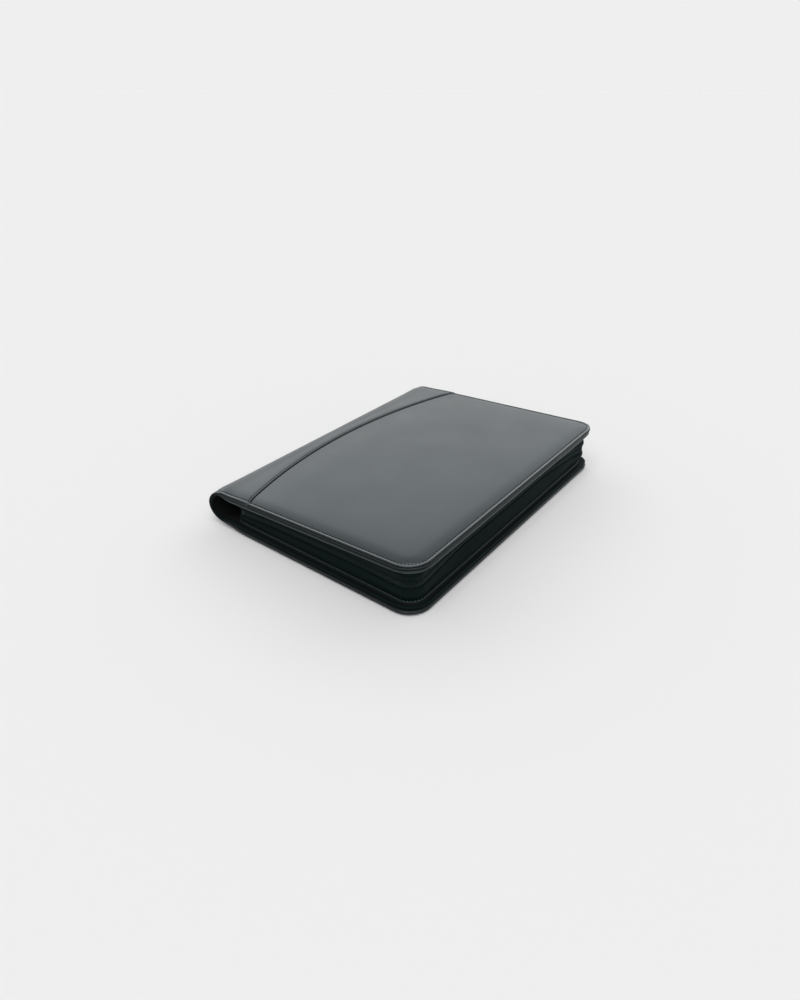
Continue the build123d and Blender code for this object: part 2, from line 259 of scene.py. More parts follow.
# Leather, boards and sewing
leather_thickness = 0.8
board_gap = 0.9
stitch_pitch = 3.2
stitch_lean = 0.12
fine_stitch = 0.22
sleeve_stitch = 1.2
sleeve_stitch_end = 2.0
sleeve_stitch_up = 0.02
hole_half = 0.7
hole_width = 0.62
hole_depth = 0.14
hole_shift = 0.75
rim_slope = math.radians(40)
foot_stitch_out = 1.15
foot_stitch_up = 1.5
sharp_bend = (0.1, math.pi / 2)


def smooth(share):
    """Eases a share from 0 to 1."""
    share = min(1.0, max(0.0, share))
    return share * share * (3 - 2 * share)


def spaced(start, end, step):
    """Stations from start to end, no further apart than step."""
    count = max(1, math.ceil((end - start) / step))
    return [start + (end - start) * index / count for index in range(count + 1)]


def arc_points(middle, radius, start, end, steps):
    """Points on an arc, with its angles in degrees."""
    angles = [math.radians(start + (end - start) * index / steps) for index in range(steps + 1)]
    return [(middle[0] + radius * math.cos(turn), middle[1] + radius * math.sin(turn)) for turn in angles]


class Section:
    """Profile of a sewn edge, as points of inset and height, measured along the leather from the first."""

    def __init__(self, points):
        self.points = points
        self.stations = [0.0]
        for before, after in zip(points, points[1:]):
            self.stations.append(self.stations[-1] + math.dist(before, after))

    def at(self, length):
        """Inset and height at a length along the profile."""
        index = min(max(bisect.bisect_right(self.stations, length), 1), len(self.points) - 1)
        start, end = self.stations[index - 1], self.stations[index]
        share = (length - start) / (end - start)
        before, after = self.points[index - 1], self.points[index]
        return tuple(a + (b - a) * share for a, b in zip(before, after))


class Route:
    """A line of straight runs and arcs in a plane, each with its length and the angle it turns through."""

    def __init__(self, start, heading, runs):
        self.starts, self.runs, self.length = [], [], 0.0
        point = start
        for length, turn in runs:
            self.starts.append(self.length)
            self.runs.append((point, heading, turn / length, length))
            self.length += length
            point = self.at(self.length)[:2]
            heading += turn

    def at(self, distance):
        """Place and heading at a distance along the line."""
        index = max(0, bisect.bisect_right(self.starts, distance - 1e-9) - 1)
        point, heading, bend, _ = self.runs[index]
        along = distance - self.starts[index]
        turned = heading + bend * along
        if bend == 0:
            return point[0] + math.cos(heading) * along, point[1] + math.sin(heading) * along, turned
        x = point[0] + (math.sin(turned) - math.sin(heading)) / bend
        y = point[1] - (math.cos(turned) - math.cos(heading)) / bend
        return x, y, turned

    def beside(self, distance, out):
        """Place at a distance along the line and a distance out from it, on its right."""
        x, y, heading = self.at(distance)
        return x + out * math.sin(heading), y - out * math.cos(heading)

    def stations(self, step, arc_step):
        """Distances along the line, closer together on its arcs."""
        found = [0.0]
        for start, (_, _, bend, length) in zip(self.starts, self.runs):
            found += spaced(start, start + length, arc_step if bend else step)[1:]
        return found


def in_mm(box):
    """The two corners of a solid's box, in millimetres."""
    return [corner_point / mm for corner_point in box]


def primitive(add, name, **settings):
    """A new primitive, by itself."""
    bpy.ops.object.select_all(action="DESELECT")
    add(**settings)
    piece = bpy.context.object
    piece.name = name
    return piece


def pick(piece):
    """Selects one piece alone."""
    bpy.ops.object.select_all(action="DESELECT")
    piece.select_set(True)
    bpy.context.view_layer.objects.active = piece


def sheet(name, across, along, edge=0.0):
    """A flat sheet with grid lines at the given stations. Its UV map is the flat cut, from an edge."""
    columns, rows = len(across) - 1, len(along) - 1
    grid = {"x_subdivisions": columns, "y_subdivisions": rows, "size": 2}
    piece = primitive(bpy.ops.mesh.primitive_grid_add, name, **grid)
    mesh = piece.data
    for vertex in mesh.vertices:
        column = round((vertex.co.x + 1) / 2 * columns)
        row = round((vertex.co.y + 1) / 2 * rows)
        vertex.co = (across[column], along[row], 0)
    cut = mesh.uv_layers.active.data
    for loop in mesh.loops:
        spot = mesh.vertices[loop.vertex_index].co
        cut[loop.index].uv = ((spot.x - edge) * mm, spot.y * mm)
    return piece


def mould(piece, place):
    """Moves each point of a piece from where it was drawn to its place on the object."""
    for vertex in piece.data.vertices:
        vertex.co = place(*vertex.co) * mm
    piece.data.update()
    return piece


def apply_modifier(piece, kind, **settings):
    """Adds a modifier and applies it."""
    pick(piece)
    modifier = piece.modifiers.new(kind, kind)
    for key, value in settings.items():
        setattr(modifier, key, value)
    bpy.ops.object.modifier_apply(modifier=modifier.name)


def edit(piece, *steps):
    """Runs edit-mode operators on the whole of a piece."""
    pick(piece)
    bpy.ops.object.mode_set(mode="EDIT")
    bpy.ops.mesh.select_all(action="SELECT")
    for step in steps:
        step()
    bpy.ops.object.mode_set(mode="OBJECT")


def thicken(piece, thickness, flipped=False):
    """Gives a sheet its thickness on the side away from its face, and smooths it."""
    if flipped:
        piece.data.flip_normals()
    apply_modifier(piece, "SOLIDIFY", thickness=thickness * mm, offset=-1, use_even_offset=False)
    soften(piece)


def soften(piece, angle=50):
    """Smooth shading, but for edges sharper than an angle."""
    pick(piece)
    bpy.ops.object.shade_smooth_by_angle(angle=math.radians(angle))


def dress(piece, finish):
    """Gives a piece its finish."""
    piece.data.materials.clear()
    piece.data.materials.append(finish)
    return piece


def repeat(piece, count, step):
    """Repeats a piece along x."""
    apply_modifier(
        piece, "ARRAY", count=count, use_relative_offset=False, use_constant_offset=True,
        constant_offset_displace=(step, 0, 0),
    )


def roll(x, y, height):
    """Rolls what lies past a cover's flat face round the spine."""
    if x >= nose_x:
        return Vector((x, y, height))
    turn = (nose_x - x) / nose_radius
    radius = nose_radius + height
    return Vector((nose_x - radius * math.sin(turn), y, radius * math.cos(turn) - nose_radius))


def flare_at(turn):
    """How far the spine's ends stand out at an angle round the spine, in degrees from its top."""
    turns = [stop[0] for stop in flare_stops]
    index = bisect.bisect_right(turns, turn) - 1
    if not 0 <= index < len(turns) - 1:
        return 0.0
    (start, before), (end, after) = flare_stops[index : index + 2]
    share = (turn - start) / (end - start)
    bend_in, bend_out = (flare_slope(stop) * (end - start) for stop in (index, index + 1))
    value = before + (after - before) * smooth(share)
    return value + (share**3 - 2 * share**2 + share) * bend_in + (share**3 - share**2) * bend_out


def flare_slope(index):
    """Slope of the flare's curve through one of its stops, level at the first and last."""
    if index in (0, len(flare_stops) - 1):
        return 0.0
    (start, before), (end, after) = flare_stops[index - 1], flare_stops[index + 1]
    return (after - before) / (end - start)


def flared(spot):
    """Shapes the spine's two ends, which stand out at its middle and curl up off the floor."""
    end = smooth((abs(spot.y) - half_length + flare_run) / flare_run)
    out = Vector((min(0.0, spot.x - nose_x), 0, spot.z - nose_radius))
    if end == 0 or (out.x == 0 and out.z >= 0):
        return spot
    turn = math.degrees(math.atan2(abs(out.x), out.z) + max(0.0, spot.x - nose_x) / nose_radius)
    share = min(1.0, flare_fill * out.length / nose_radius)
    return spot + out.normalized() * (flare_at(turn) * end * share)


def on_back(spot):
    """A place drawn with the cover's outer face up, on the back cover."""
    return flared(Vector((spot.x, spot.y, -spot.z)))


def on_front(spot):
    """A place drawn with the cover's outer face up, on the front cover."""
    reach = spot.x - apex_x
    x = apex_x + reach * math.cos(wedge) - spot.z * math.sin(wedge)
    return flared(Vector((x, spot.y, reach * math.sin(wedge) + spot.z * math.cos(wedge))))


def on_zip(along, side, up):
    """A place in the zip plane's own directions."""
    return nose_middle + zip_along * along + Vector((0, side, 0)) + zip_up * up


def fold_with_back(piece):
    """Bakes a piece's place into its mesh; the ends of its fold between the back cover and the spine are
    worked out but not used.
    """
    start = on_back(roll(nose_x - fold_arc + fold_reach, 0, 0)) * mm
    end = on_back(roll(nose_x - fold_arc - fold_reach, 0, 0)) * mm
    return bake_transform(piece)


def fold_with_front(piece):
    """Bakes a piece's place into its mesh; the ends of its fold between the spine and the front cover are
    worked out but not used.
    """
    start = on_front(roll(nose_x - fold_arc - fold_reach, 0, 0)) * mm
    end = on_front(roll(nose_x - fold_arc + fold_reach, 0, 0)) * mm
    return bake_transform(piece)


# Finishes

def new_finish(name, colour, roughness, **sockets):
    """A material with its even values set on the shader."""
    finish = bpy.data.materials.new(name)
    finish.use_nodes = True
    shader = finish.node_tree.nodes["Principled BSDF"]
    shader.inputs["Base Color"].default_value = (*colour, 1)
    shader.inputs["Roughness"].default_value = roughness
    for socket, value in sockets.items():
        shader.inputs[socket.replace("_", " ")].default_value = value
    return finish, finish.node_tree, shader


def node(tree, kind, links=(), **values):
    """A node with its values set and its inputs linked."""
    made = tree.nodes.new(kind)
    for key, value in values.items():
        if hasattr(made, key):
            setattr(made, key, value)
        else:
            made.inputs[key.replace("_", " ")].default_value = value
    for socket, source in links:
        tree.links.new(source, made.inputs[socket])
    return made


def flat_cut(tree, scale):
    """Places on the flat cut, in steps of 1 / scale metres."""
    spot = node(tree, "ShaderNodeTexCoord")
    cut = node(tree, "ShaderNodeMapping", [("Vector", spot.outputs["UV"])], Scale=(scale, scale, scale))
    return cut.outputs[0]


def flat_place(tree):
    """Distances across and along the flat cut."""
    spot = node(tree, "ShaderNodeTexCoord")
    parts = node(tree, "ShaderNodeSeparateXYZ", [("Vector", spot.outputs["UV"])])
    return parts.outputs["X"], parts.outputs["Y"]


def on_piece(tree, scale):
    """Places on the piece itself."""
    spot = node(tree, "ShaderNodeTexCoord")
    return node(tree, "ShaderNodeMapping", [("Vector", spot.outputs["Object"])], Scale=scale).outputs[0]


def texture(tree, kind, place, **settings):
    """A pattern's value at a place."""
    made = node(tree, f"ShaderNodeTex{kind}", [("Vector", place)], **settings)
    return made.outputs["Distance" if kind == "Voronoi" else "Fac"]


def sum_of(tree, operation, first, second=None):
    """A sum on one value or two, the second a number or another node's output."""
    made = node(tree, "ShaderNodeMath", [(0, first)], operation=operation)
    if isinstance(second, (int, float)):
        made.inputs[1].default_value = second
    elif second is not None:
        tree.links.new(second, made.inputs[1])
    return made.outputs[0]


def mapped(tree, source, **limits):
    """A value brought from one range to another."""
    return node(tree, "ShaderNodeMapRange", [("Value", source)], **limits).outputs["Result"]


def mixed(tree, share, first, second):
    """Two colours mixed, each a colour or another node's output."""
    made = node(tree, "ShaderNodeMix", [(0, share)], data_type="RGBA")
    for socket, colour in ((6, first), (7, second)):
        if isinstance(colour, tuple):
            made.inputs[socket].default_value = (*colour, 1)
        else:
            tree.links.new(colour, made.inputs[socket])
    return made.outputs[2]


def vary(tree, shader, socket, source, low, high):
    """Drives a shader value between two limits by a pattern."""
    value = mapped(tree, source, To_Min=low, To_Max=high)
    tree.links.new(value, shader.inputs[socket])
    return value


def tint(tree, shader, source, dark, light):
    """Drives the base colour between two colours by a pattern."""
    ramp = node(tree, "ShaderNodeValToRGB", [("Fac", source)])
    ramp.color_ramp.elements[0].color = (*dark, 1)
    ramp.color_ramp.elements[1].color = (*light, 1)
    tree.links.new(ramp.outputs["Color"], shader.inputs["Base Color"])


def emboss(tree, shader, *patterns):
    """Stacks bumps, each a pattern with its strength and its height in millimetres."""
    normal = None
    for source, strength, height in patterns:
        links = [("Height", source)] + ([("Normal", normal)] if normal else [])
        bump = node(tree, "ShaderNodeBump", links, Strength=strength, Distance=height * mm)
        normal = bump.outputs["Normal"]
    tree.links.new(normal, shader.inputs["Normal"])


def rim_share(tree, first, full):
    """From 0 on a cover's face to 1 on its turned edge, between two distances past the edge."""
    across, along = flat_place(tree)
    past_end = sum_of(tree, "SUBTRACT", sum_of(tree, "ABSOLUTE", along), half_length * mm)
    past = sum_of(tree, "MAXIMUM", across, past_end)
    return mapped(tree, past, From_Min=first * mm, From_Max=full * mm)


def leatherette(name, dark, light, roughness, grain, rim_gloss=None, **sockets):
    """Smooth coated leatherette with a fine pebble grain and soft, uneven gloss."""
    finish, tree, shader = new_finish(name, light, roughness, **sockets)
    fine = flat_cut(tree, 1000)
    pebble = texture(tree, "Voronoi", fine, Scale=1.7)
    pores = texture(tree, "Noise", fine, Scale=4.0, Detail=3.0)
    cloud = texture(tree, "Noise", fine, Scale=0.02, Detail=4.0)
    tint(tree, shader, cloud, dark, light)
    uneven = vary(tree, shader, "Roughness", cloud, roughness - 0.07, roughness + 0.07)
    emboss(tree, shader, (pebble, grain, 0.06), (pores, grain * 0.6, 0.04))
    if rim_gloss is not None:
        gloss = sockets["Specular_IOR_Level"]
        vary(tree, shader, "Specular IOR Level", rim_share(tree, -0.5, 0.5), gloss, rim_gloss)
        polish = mapped(tree, rim_share(tree, -2.9, -2.4), To_Min=1.0, To_Max=0.5)
        tree.links.new(sum_of(tree, "MULTIPLY", uneven, polish), shader.inputs["Roughness"])
    return finish


def dull_to_spine(finish):
    """Takes the gloss off a finish where it runs round the spine."""
    tree, shader = finish.node_tree, finish.node_tree.nodes["Principled BSDF"]
    across, _ = flat_place(tree)
    share = mapped(tree, across, From_Min=(nose_x - 20) * mm, From_Max=(nose_x + 2) * mm)
    vary(tree, shader, "Specular IOR Level", share, 0.04, shader.inputs["Specular IOR Level"].default_value)


def woven(name, dark, light, pitch, roughness, **sockets):
    """Plain weave with crossing threads, pitch in millimetres."""
    finish, tree, shader = new_finish(name, light, roughness, **sockets)
    cut = flat_cut(tree, 1000 / pitch)
    warp, weft = (texture(tree, "Wave", cut, Scale=0.5, bands_direction=way) for way in "XY")
    cross = sum_of(tree, "MULTIPLY", warp, weft)
    tint(tree, shader, cross, dark, light)
    emboss(tree, shader, (cross, 0.6, 0.12))
    return finish


def speckled(name, dark, light, roughness, pattern, kind="Noise", spread=(1000, 1000, 1000), wear=None,
             bump=None, **sockets):
    """A finish whose colour follows a fine pattern on the piece, and so may its roughness and its surface."""
    finish, tree, shader = new_finish(name, light, roughness, **sockets)
    grain = texture(tree, kind, on_piece(tree, spread), **pattern)
    tint(tree, shader, grain, dark, light)
    if wear:
        vary(tree, shader, "Roughness", grain, *wear)
    if bump:
        emboss(tree, shader, (grain, *bump))
    return finish


def thread_finish(name, dark, light):
    """Twisted sewing thread."""
    return speckled(name, dark, light, 0.55, {"Scale": 5.0}, bump=(0.4, 0.05), Specular_IOR_Level=0.5)


def board_finish(name, dark, light):
    """Grey board with flecks of fibre."""
    fibre = {"Scale": 0.9, "Detail": 8.0, "Roughness": 0.75}
    return speckled(name, dark, light, 0.9, fibre, bump=(0.3, 0.1), Specular_IOR_Level=0.2)


def ruled_finish():
    """Writing paper with pale ruled lines and one margin line."""
    margin_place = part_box("pad_sheets")[0].x + margin_line * mm
    paper, blue, red = (0.87, 0.87, 0.84), (0.4, 0.5, 0.66), (0.66, 0.34, 0.36)
    finish, tree, shader = new_finish("ruled_paper", paper, 0.85, Specular_IOR_Level=0.2)
    across, along = flat_place(tree)
    row = sum_of(tree, "MODULO", sum_of(tree, "ADD", along, 1.0), rule_pitch * mm)
    on_row = sum_of(tree, "LESS_THAN", row, rule_width * mm)
    below_head = sum_of(tree, "LESS_THAN", along, rule_top * mm)
    lines = mixed(tree, sum_of(tree, "MULTIPLY", on_row, below_head), paper, blue)
    aside = sum_of(tree, "ABSOLUTE", sum_of(tree, "SUBTRACT", across, margin_place))
    on_margin = sum_of(tree, "LESS_THAN", aside, rule_width * mm)
    tree.links.new(mixed(tree, on_margin, lines, red), shader.inputs["Base Color"])
    return finish


def vinyl_finish():
    """Clear soft vinyl with a faint haze."""
    colour = (0.085, 0.09, 0.093)
    finish, tree, shader = new_finish("clear_vinyl", colour, 0.45, Specular_IOR_Level=0.3, Alpha=0.45)
    haze = texture(tree, "Noise", on_piece(tree, (1000, 1000, 1000)), Scale=0.05, Detail=3.0)
    vary(tree, shader, "Roughness", haze, 0.4, 0.5)
    emboss(tree, shader, (haze, 0.2, 0.3))
    return finish


def elastic_finish():
    """Ribbed elastic webbing, with its ribs along the band."""
    finish, tree, shader = new_finish("ribbed_elastic", (0.016, 0.016, 0.016), 0.8, Specular_IOR_Level=0.2)
    ribs = texture(tree, "Wave", flat_cut(tree, 1000), Scale=0.21, bands_direction="Y")
    tint(tree, shader, ribs, (0.006, 0.006, 0.006), (0.022, 0.022, 0.022))
    emboss(tree, shader, (ribs, 0.9, 0.35))
    return finish


cool_sheen = (0.8, 0.94, 1.0, 1.0)
green_sheen = (0.7, 1.0, 1.0, 1.0)
cover_finish = leatherette(
    "cover_leatherette", (0.015, 0.018, 0.019), (0.021, 0.025, 0.026), 0.38, 0.16, rim_gloss=0.22,
    Specular_IOR_Level=1.0, Specular_Tint=cool_sheen,
)
# Gusset leatherette: partly the wall's own black, partly painted shade for its recess under the covers'
# edges; its welt keeps a lighter copy
shaded_gusset_finish = leatherette(
    "gusset_leatherette_painted_shade", (0.0026, 0.0058, 0.0058), (0.0045, 0.009, 0.009), 0.5, 0.3,
    Specular_IOR_Level=0.05, Specular_Tint=green_sheen,
)
welt_finish = leatherette(
    "welt_leatherette", (0.006, 0.0105, 0.0105), (0.0095, 0.015, 0.015), 0.4, 0.2,
    Specular_IOR_Level=0.35, Specular_Tint=green_sheen,
)
border_finish = leatherette(
    "border_leatherette", (0.009, 0.0135, 0.0135), (0.0125, 0.019, 0.019), 0.34, 0.16,
    Specular_IOR_Level=0.48, Specular_Tint=cool_sheen,
)
dull_to_spine(border_finish)
inner_finish = leatherette(
    "inner_leatherette", (0.013, 0.014, 0.014), (0.02, 0.021, 0.022), 0.5, 0.3, Specular_IOR_Level=0.45,
)
lining_finish = woven(
    "lining_cloth", (0.004, 0.0045, 0.005), (0.011, 0.0115, 0.012), 0.5, 0.85, Specular_IOR_Level=0.15,
)
tape_finish = woven(
    "zip_weave", (0.0032, 0.006, 0.006), (0.009, 0.014, 0.014), 0.7, 0.8,
    Specular_IOR_Level=0.12, Specular_Tint=green_sheen,
)
binding_paper = woven(
    "binding_tape", (0.09, 0.1, 0.12), (0.15, 0.16, 0.19), 0.8, 0.6, Specular_IOR_Level=0.3,
)
thread = thread_finish("sewing_thread", (0.03, 0.037, 0.039), (0.055, 0.066, 0.07))
# Rim thread: the sewing thread painted paler, a painted highlight for the light the rim stitches catch
rim_thread_painted_highlight = thread_finish("rim_thread_painted_highlight", (0.07, 0.085, 0.09), (0.12, 0.14, 0.15))
# Needle holes: their near-black colour is painted shade for the hole's recess
painted_hole_shade = speckled(
    "painted_hole_shade", (0.002, 0.002, 0.002), (0.005, 0.005, 0.005), 0.9, {"Scale": 3.0}, Specular_IOR_Level=0.0,
)
nylon = speckled(
    "coil_nylon", (0.009, 0.014, 0.014), (0.02, 0.027, 0.027), 0.4, {"Scale": 0.6}, wear=(0.28, 0.45),
    Specular_IOR_Level=0.35, Specular_Tint=green_sheen,
)
metal = speckled(
    "black_nickel", (0.07, 0.07, 0.074), (0.15, 0.15, 0.155), 0.3, {"Scale": 0.5, "Detail": 6.0},
    wear=(0.22, 0.42), Metallic=1.0,
)
paint = speckled(
    "black_paint", (0.008, 0.008, 0.008), (0.018, 0.018, 0.018), 0.5, {"Scale": 0.8, "Detail": 4.0},
    Specular_IOR_Level=0.3,
)
foam = speckled(
    "sheet_foam", (0.42, 0.42, 0.4), (0.6, 0.6, 0.58), 0.95, {"Scale": 1.2}, kind="Voronoi", bump=(0.5, 0.2),
    Specular_IOR_Level=0.1,
)
page_edges = speckled(
    "page_edges", (0.68, 0.68, 0.65), (0.9, 0.9, 0.87), 0.85, {"Scale": 1.0, "Detail": 2.0},
    spread=(40, 40, 4500), bump=(0.4, 0.08), Specular_IOR_Level=0.2,
)
millboard = board_finish("grey_millboard", (0.3, 0.25, 0.19), (0.46, 0.4, 0.31))
pad_board = board_finish("pad_backing_board", (0.34, 0.29, 0.22), (0.5, 0.43, 0.33))
ruled = ruled_finish()
vinyl = vinyl_finish()
elastic = elastic_finish()

# Edges of the covers

def crown_height(inset):
    """Height of the padded face over a distance in from the cover's edge."""
    if inset >= crown_start:
        return 0.0
    return -crown * ((crown_start - inset) / (crown_start - rim_width)) ** crown_power


crown_insets = [corner, 20, 16, 14, 12, 10.2, 8.6, 7.3, 6.2, 5.3, 4.6]
leather_edge = Section(
    [(inset, crown_height(inset)) for inset in crown_insets]
    + [(4.2, -1.6), (stitch_inset, stitch_valley), (3.4, -1.9), (3.1, -1.62), (2.5, -1.52), (1.9, -1.43)]
    + arc_points((1.25, -1.35 - upper_bead), upper_bead, 90, 225, 8)
    + [(1.5, -3.1), (1.5, -3.4)]
    + arc_points((lower_bead + 0.1, -4.35), lower_bead, 125, 240, 8)
    + [(1.9, -rim_bottom), (3.0, -rim_bottom), (turn_in, -rim_bottom)]
)
lining_low = lining_round - inner_face
lining_edge = Section(
    [(corner, -inner_face), (12, -inner_face), (7, -inner_face), (5.2, -inner_face + 0.05)]
    + [(lining_stitch_inset, -inner_face + 0.3), (3.2, -inner_face + 0.05)]
    + arc_points((lining_inset + lining_round, lining_low), lining_round, 270, 130, 10)
    + [(2.4, -6.75), (4.2, -6.2), (6.0, -rim_bottom - 0.1), (turn_in, -rim_bottom)]
)
seam_edge = Section(
    [(seam_zone, yoke_rise), (4.4, yoke_rise), (3.4, yoke_rise), (2.8, 0.66)]
    + [(seam_stitch_inset, seam_valley), (1.7, 0.68), (1.2, yoke_rise), (0.8, 0.74), (0.4, 0.55)]
    + [(0.12, 0.25), (0.0, -0.1), (0.15, -0.4), (4.0, -0.5)]
)


def squared(x, y, right):
    """Squares the far corner of a cover's fore edge, which is tighter than the near one."""
    over_x, over_y = x - right + corner, y - half_length + corner
    if min(over_x, over_y) <= 0:
        return x, y
    extra = back_far_corner if right == back_right else front_far_corner
    grown = 1 + extra * math.sin(2 * math.atan2(over_y, over_x)) ** 2
    return right - corner + over_x * grown, half_length - corner + over_y * grown


def corner_turn(over_x, over_y):
    """Angle round a corner, from how far a point of the flat cut is past its two edges' starts."""
    if over_x >= over_y:
        return math.pi / 4 * (over_y / over_x if over_x else 0)
    return math.pi / 2 - math.pi / 4 * over_x / over_y


def turned(u, v, right, section):
    """Place and height of a point of a cover's flat cut, with its edges turned over and its corners round."""
    over_x = max(0.0, u - right + corner)
    over_y = max(0.0, abs(v) - half_length + corner)
    inset, height = section.at(max(over_x, over_y))
    turn = corner_turn(over_x, over_y)
    reach = corner - inset
    x = min(u, right - corner) + reach * math.cos(turn)
    y = math.copysign(min(abs(v), half_length - corner) + reach * math.sin(turn), v)
    return *squared(x, y, right), height


def spine_share(x):
    """How far the thick edge of a cover has thinned towards the spine."""
    return smooth((nose_x + rim_taper_start - x) / rim_taper)


def leather_height(x, height):
    """Height of the leather, with its turned edge thinner round the spine."""
    level = -crown
    if height >= level:
        return height
    thinner = 1 - (rim_bottom - spine_rim_bottom) / (rim_bottom - crown) * spine_share(x)
    return level + (height - level) * thinner


def lining_height(x, y, height):
    """Height of the lining, with its panel sloping down to the spine, which has a hem at each end."""
    depth = (height + rim_bottom) / (inner_face - rim_bottom)
    hem = spine_hem * smooth((hem_width - half_length + abs(y)) / hem_slope)
    at_spine = -spine_rim_bottom + depth * (spine_inner_face + hem - spine_rim_bottom)
    return height + (at_spine - height) * smooth((nose_x + lining_taper_start - x) / lining_taper)


def seam_x(y):
    """Place of the arched seam across the cover."""
    return nose_x + yoke_middle + seam_radius - math.sqrt(seam_radius**2 - (y - yoke_shift) ** 2)


def yoke_lift(x, y):
    """Height of the yoke over the cover, which comes up from the spine to the seam."""
    width = seam_x(y) - nose_x
    fade = max(yoke_fade, yoke_fade_share * width)
    return yoke_rise * smooth((fade - width + x - nose_x) / (fade - seam_zone))


def puff_share(inset):
    """How much of the panel's swell is reached at a distance in from an edge."""
    return 1 - (1 - min(1.0, max(0.0, inset / puff_run))) ** 2


def panel_swell(x, y):
    """How far the foam lifts the front panel over the level of the yoke."""
    ends = puff_share(half_length - abs(y) - rim_width)
    return puff * ends * puff_share(front_right - x - rim_width) * smooth((x - seam_x(y)) / puff_run)


def seam_groove(past):
    """Depth of the panel beside the yoke's folded edge."""
    groove = groove_depth * (1 - smooth((past - groove_start) / groove_slope))
    hollow = hollow_depth * (1 - smooth((past - hollow_start) / hollow_slope))
    return -groove - hollow


def rows_of(section):
    """Stations along a cover, with both ends turned over."""
    flat_end = half_length - corner
    turned_rows = [flat_end + station for station in section.stations[1:]]
    return [-row for row in reversed(turned_rows)] + spaced(-flat_end, flat_end, panel_step) + turned_rows


def fore_columns(right, section):
    """Stations across a cover's fore edge, turned over."""
    return [right - corner + station for station in section.stations]


spine_columns = spaced(nose_x - spine_arc, nose_x, roll_step)


def back_leather():
    """The back cover's leather, from the middle of the spine to its turned edges."""
    flat = spaced(nose_x, back_right - corner, panel_step)[1:-1]
    columns = spine_columns + flat + fore_columns(back_right, leather_edge)
    piece = sheet("back_leather", columns, rows_of(leather_edge), back_right)

    def place(u, v, _):
        x, y, height = turned(u, v, back_right, leather_edge)
        return on_back(roll(x, y, leather_height(x, height)))

    mould(piece, place)
    thicken(piece, leather_thickness, flipped=True)
    dress(piece, cover_finish)
    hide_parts("back_cover_leather", "spine_leather")
    return fold_with_back(piece)


def yoke_leather():
    """The yoke, from the middle of the spine to its folded edge on the arched seam."""
    seam = nose_x + yoke_middle
    zone_start = seam - seam_zone
    columns = spine_columns + spaced(nose_x, zone_start, yoke_step)[1:-1]
    columns += [zone_start + station for station in seam_edge.stations]
    piece = sheet("yoke_leather", columns, rows_of(leather_edge), front_right)

    def place(u, v, _):
        _, y, height = turned(nose_x, v, front_right, leather_edge)
        slack = seam_x(y) - seam
        if u > zone_start:
            distance, rise = seam_edge.at(u - zone_start)
            x = seam_x(y) - distance
        else:
            x = nose_x + (u - nose_x) * (1 + slack / (yoke_middle - seam_zone)) if u > nose_x else u
            rise = yoke_lift(x, y)
        on_top = min(1.0, max(0.0, (height + yoke_edge) / yoke_edge_slope))
        return on_front(roll(x, y, leather_height(x, height) + rise * on_top))

    mould(piece, place)
    thicken(piece, yoke_thickness)
    dress(piece, cover_finish)
    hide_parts("front_yoke", "spine_leather")
    return fold_with_front(piece)


def front_panel():
    """The front cover's main panel, tucked under the yoke and turned over at its three edges."""
    tucked = [-panel_tuck, -4.0, -1.5, -0.6, 0.0, 0.35, 0.7, 1.05, 1.4, 1.9, 2.5, 3.3, 4.4, 6.0, panel_tuck]
    seam = nose_x + yoke_middle
    flat = spaced(seam + panel_tuck, front_right - corner, panel_step)[1:-1]
    columns = [seam + step for step in tucked] + flat + fore_columns(front_right, leather_edge)
    piece = sheet("front_panel", columns, rows_of(leather_edge), front_right)
    flat_end = front_right - corner

    def place(u, v, _):
        x, y, height = turned(u, v, front_right, leather_edge)
        slack = seam_x(y) - seam
        past_seam = u - seam
        if past_seam <= panel_tuck:
            x += slack
        elif u < flat_end:
            x += slack * (flat_end - u) / (flat_end - seam - panel_tuck)
        groove = seam_groove(past_seam) * smooth((half_length - abs(y) - groove_end) / groove_end_slope)
        under = smooth(-past_seam / tuck_slope)
        y *= 1 - tuck_draw * under / half_length
        if height < tuck_level:
            groove = tuck_lift * under
        return on_front(Vector((x, y, height + groove + panel_swell(x, y))))

    mould(piece, place)
    thicken(piece, leather_thickness)
    dress(piece, cover_finish)
    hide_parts("front_cover_leather")
    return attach(piece, "front_half")


def lining_panel(name, right, onto, flipped, border):
    """A cover's lining, sloping down to the spine and carried round to its middle."""
    hinge = spaced(nose_x, nose_x + lining_taper_start, 1.0)[1:]
    flat = spaced(hinge[-1], right - corner, panel_step)[1:-1]
    columns = spine_columns + hinge + flat + fore_columns(right, lining_edge)
    piece = sheet(name, columns, rows_of(lining_edge))

    def place(u, v, _):
        x, y, height = turned(u, v, right, lining_edge)
        return onto(roll(x, y, lining_height(x, y, height)))

    mould(piece, place)
    thicken(piece, lining_thickness, flipped)
    dress(piece, lining_finish)
    piece.data.materials.append(border)
    cut = piece.data.uv_layers.active.data
    for face in piece.data.polygons:
        spots = [cut[index].uv / mm for index in face.loop_indices]
        past = max(max(spot.x - right, abs(spot.y) - half_length) for spot in spots)
        if past > -lining_border + 0.01:
            face.material_index = 1
    return piece


def stiffener_half(name, onto, flipped):
    """Half of the spine's stiffener, between its leather and its lining."""
    low, high = in_mm(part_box("spine_stiffener"))
    across = spaced(nose_x - spine_arc, nose_x - fold_arc - stiffener_gap, roll_step)
    piece = sheet(name, across, spaced(low.y, high.y, panel_step))

    def place(u, v, _):
        return onto(roll(u, v, stiffener_level))

    mould(piece, place)
    thicken(piece, stiffener_thickness, flipped)
    dress(piece, millboard)
    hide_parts("spine_stiffener")
    return piece


# Sewing

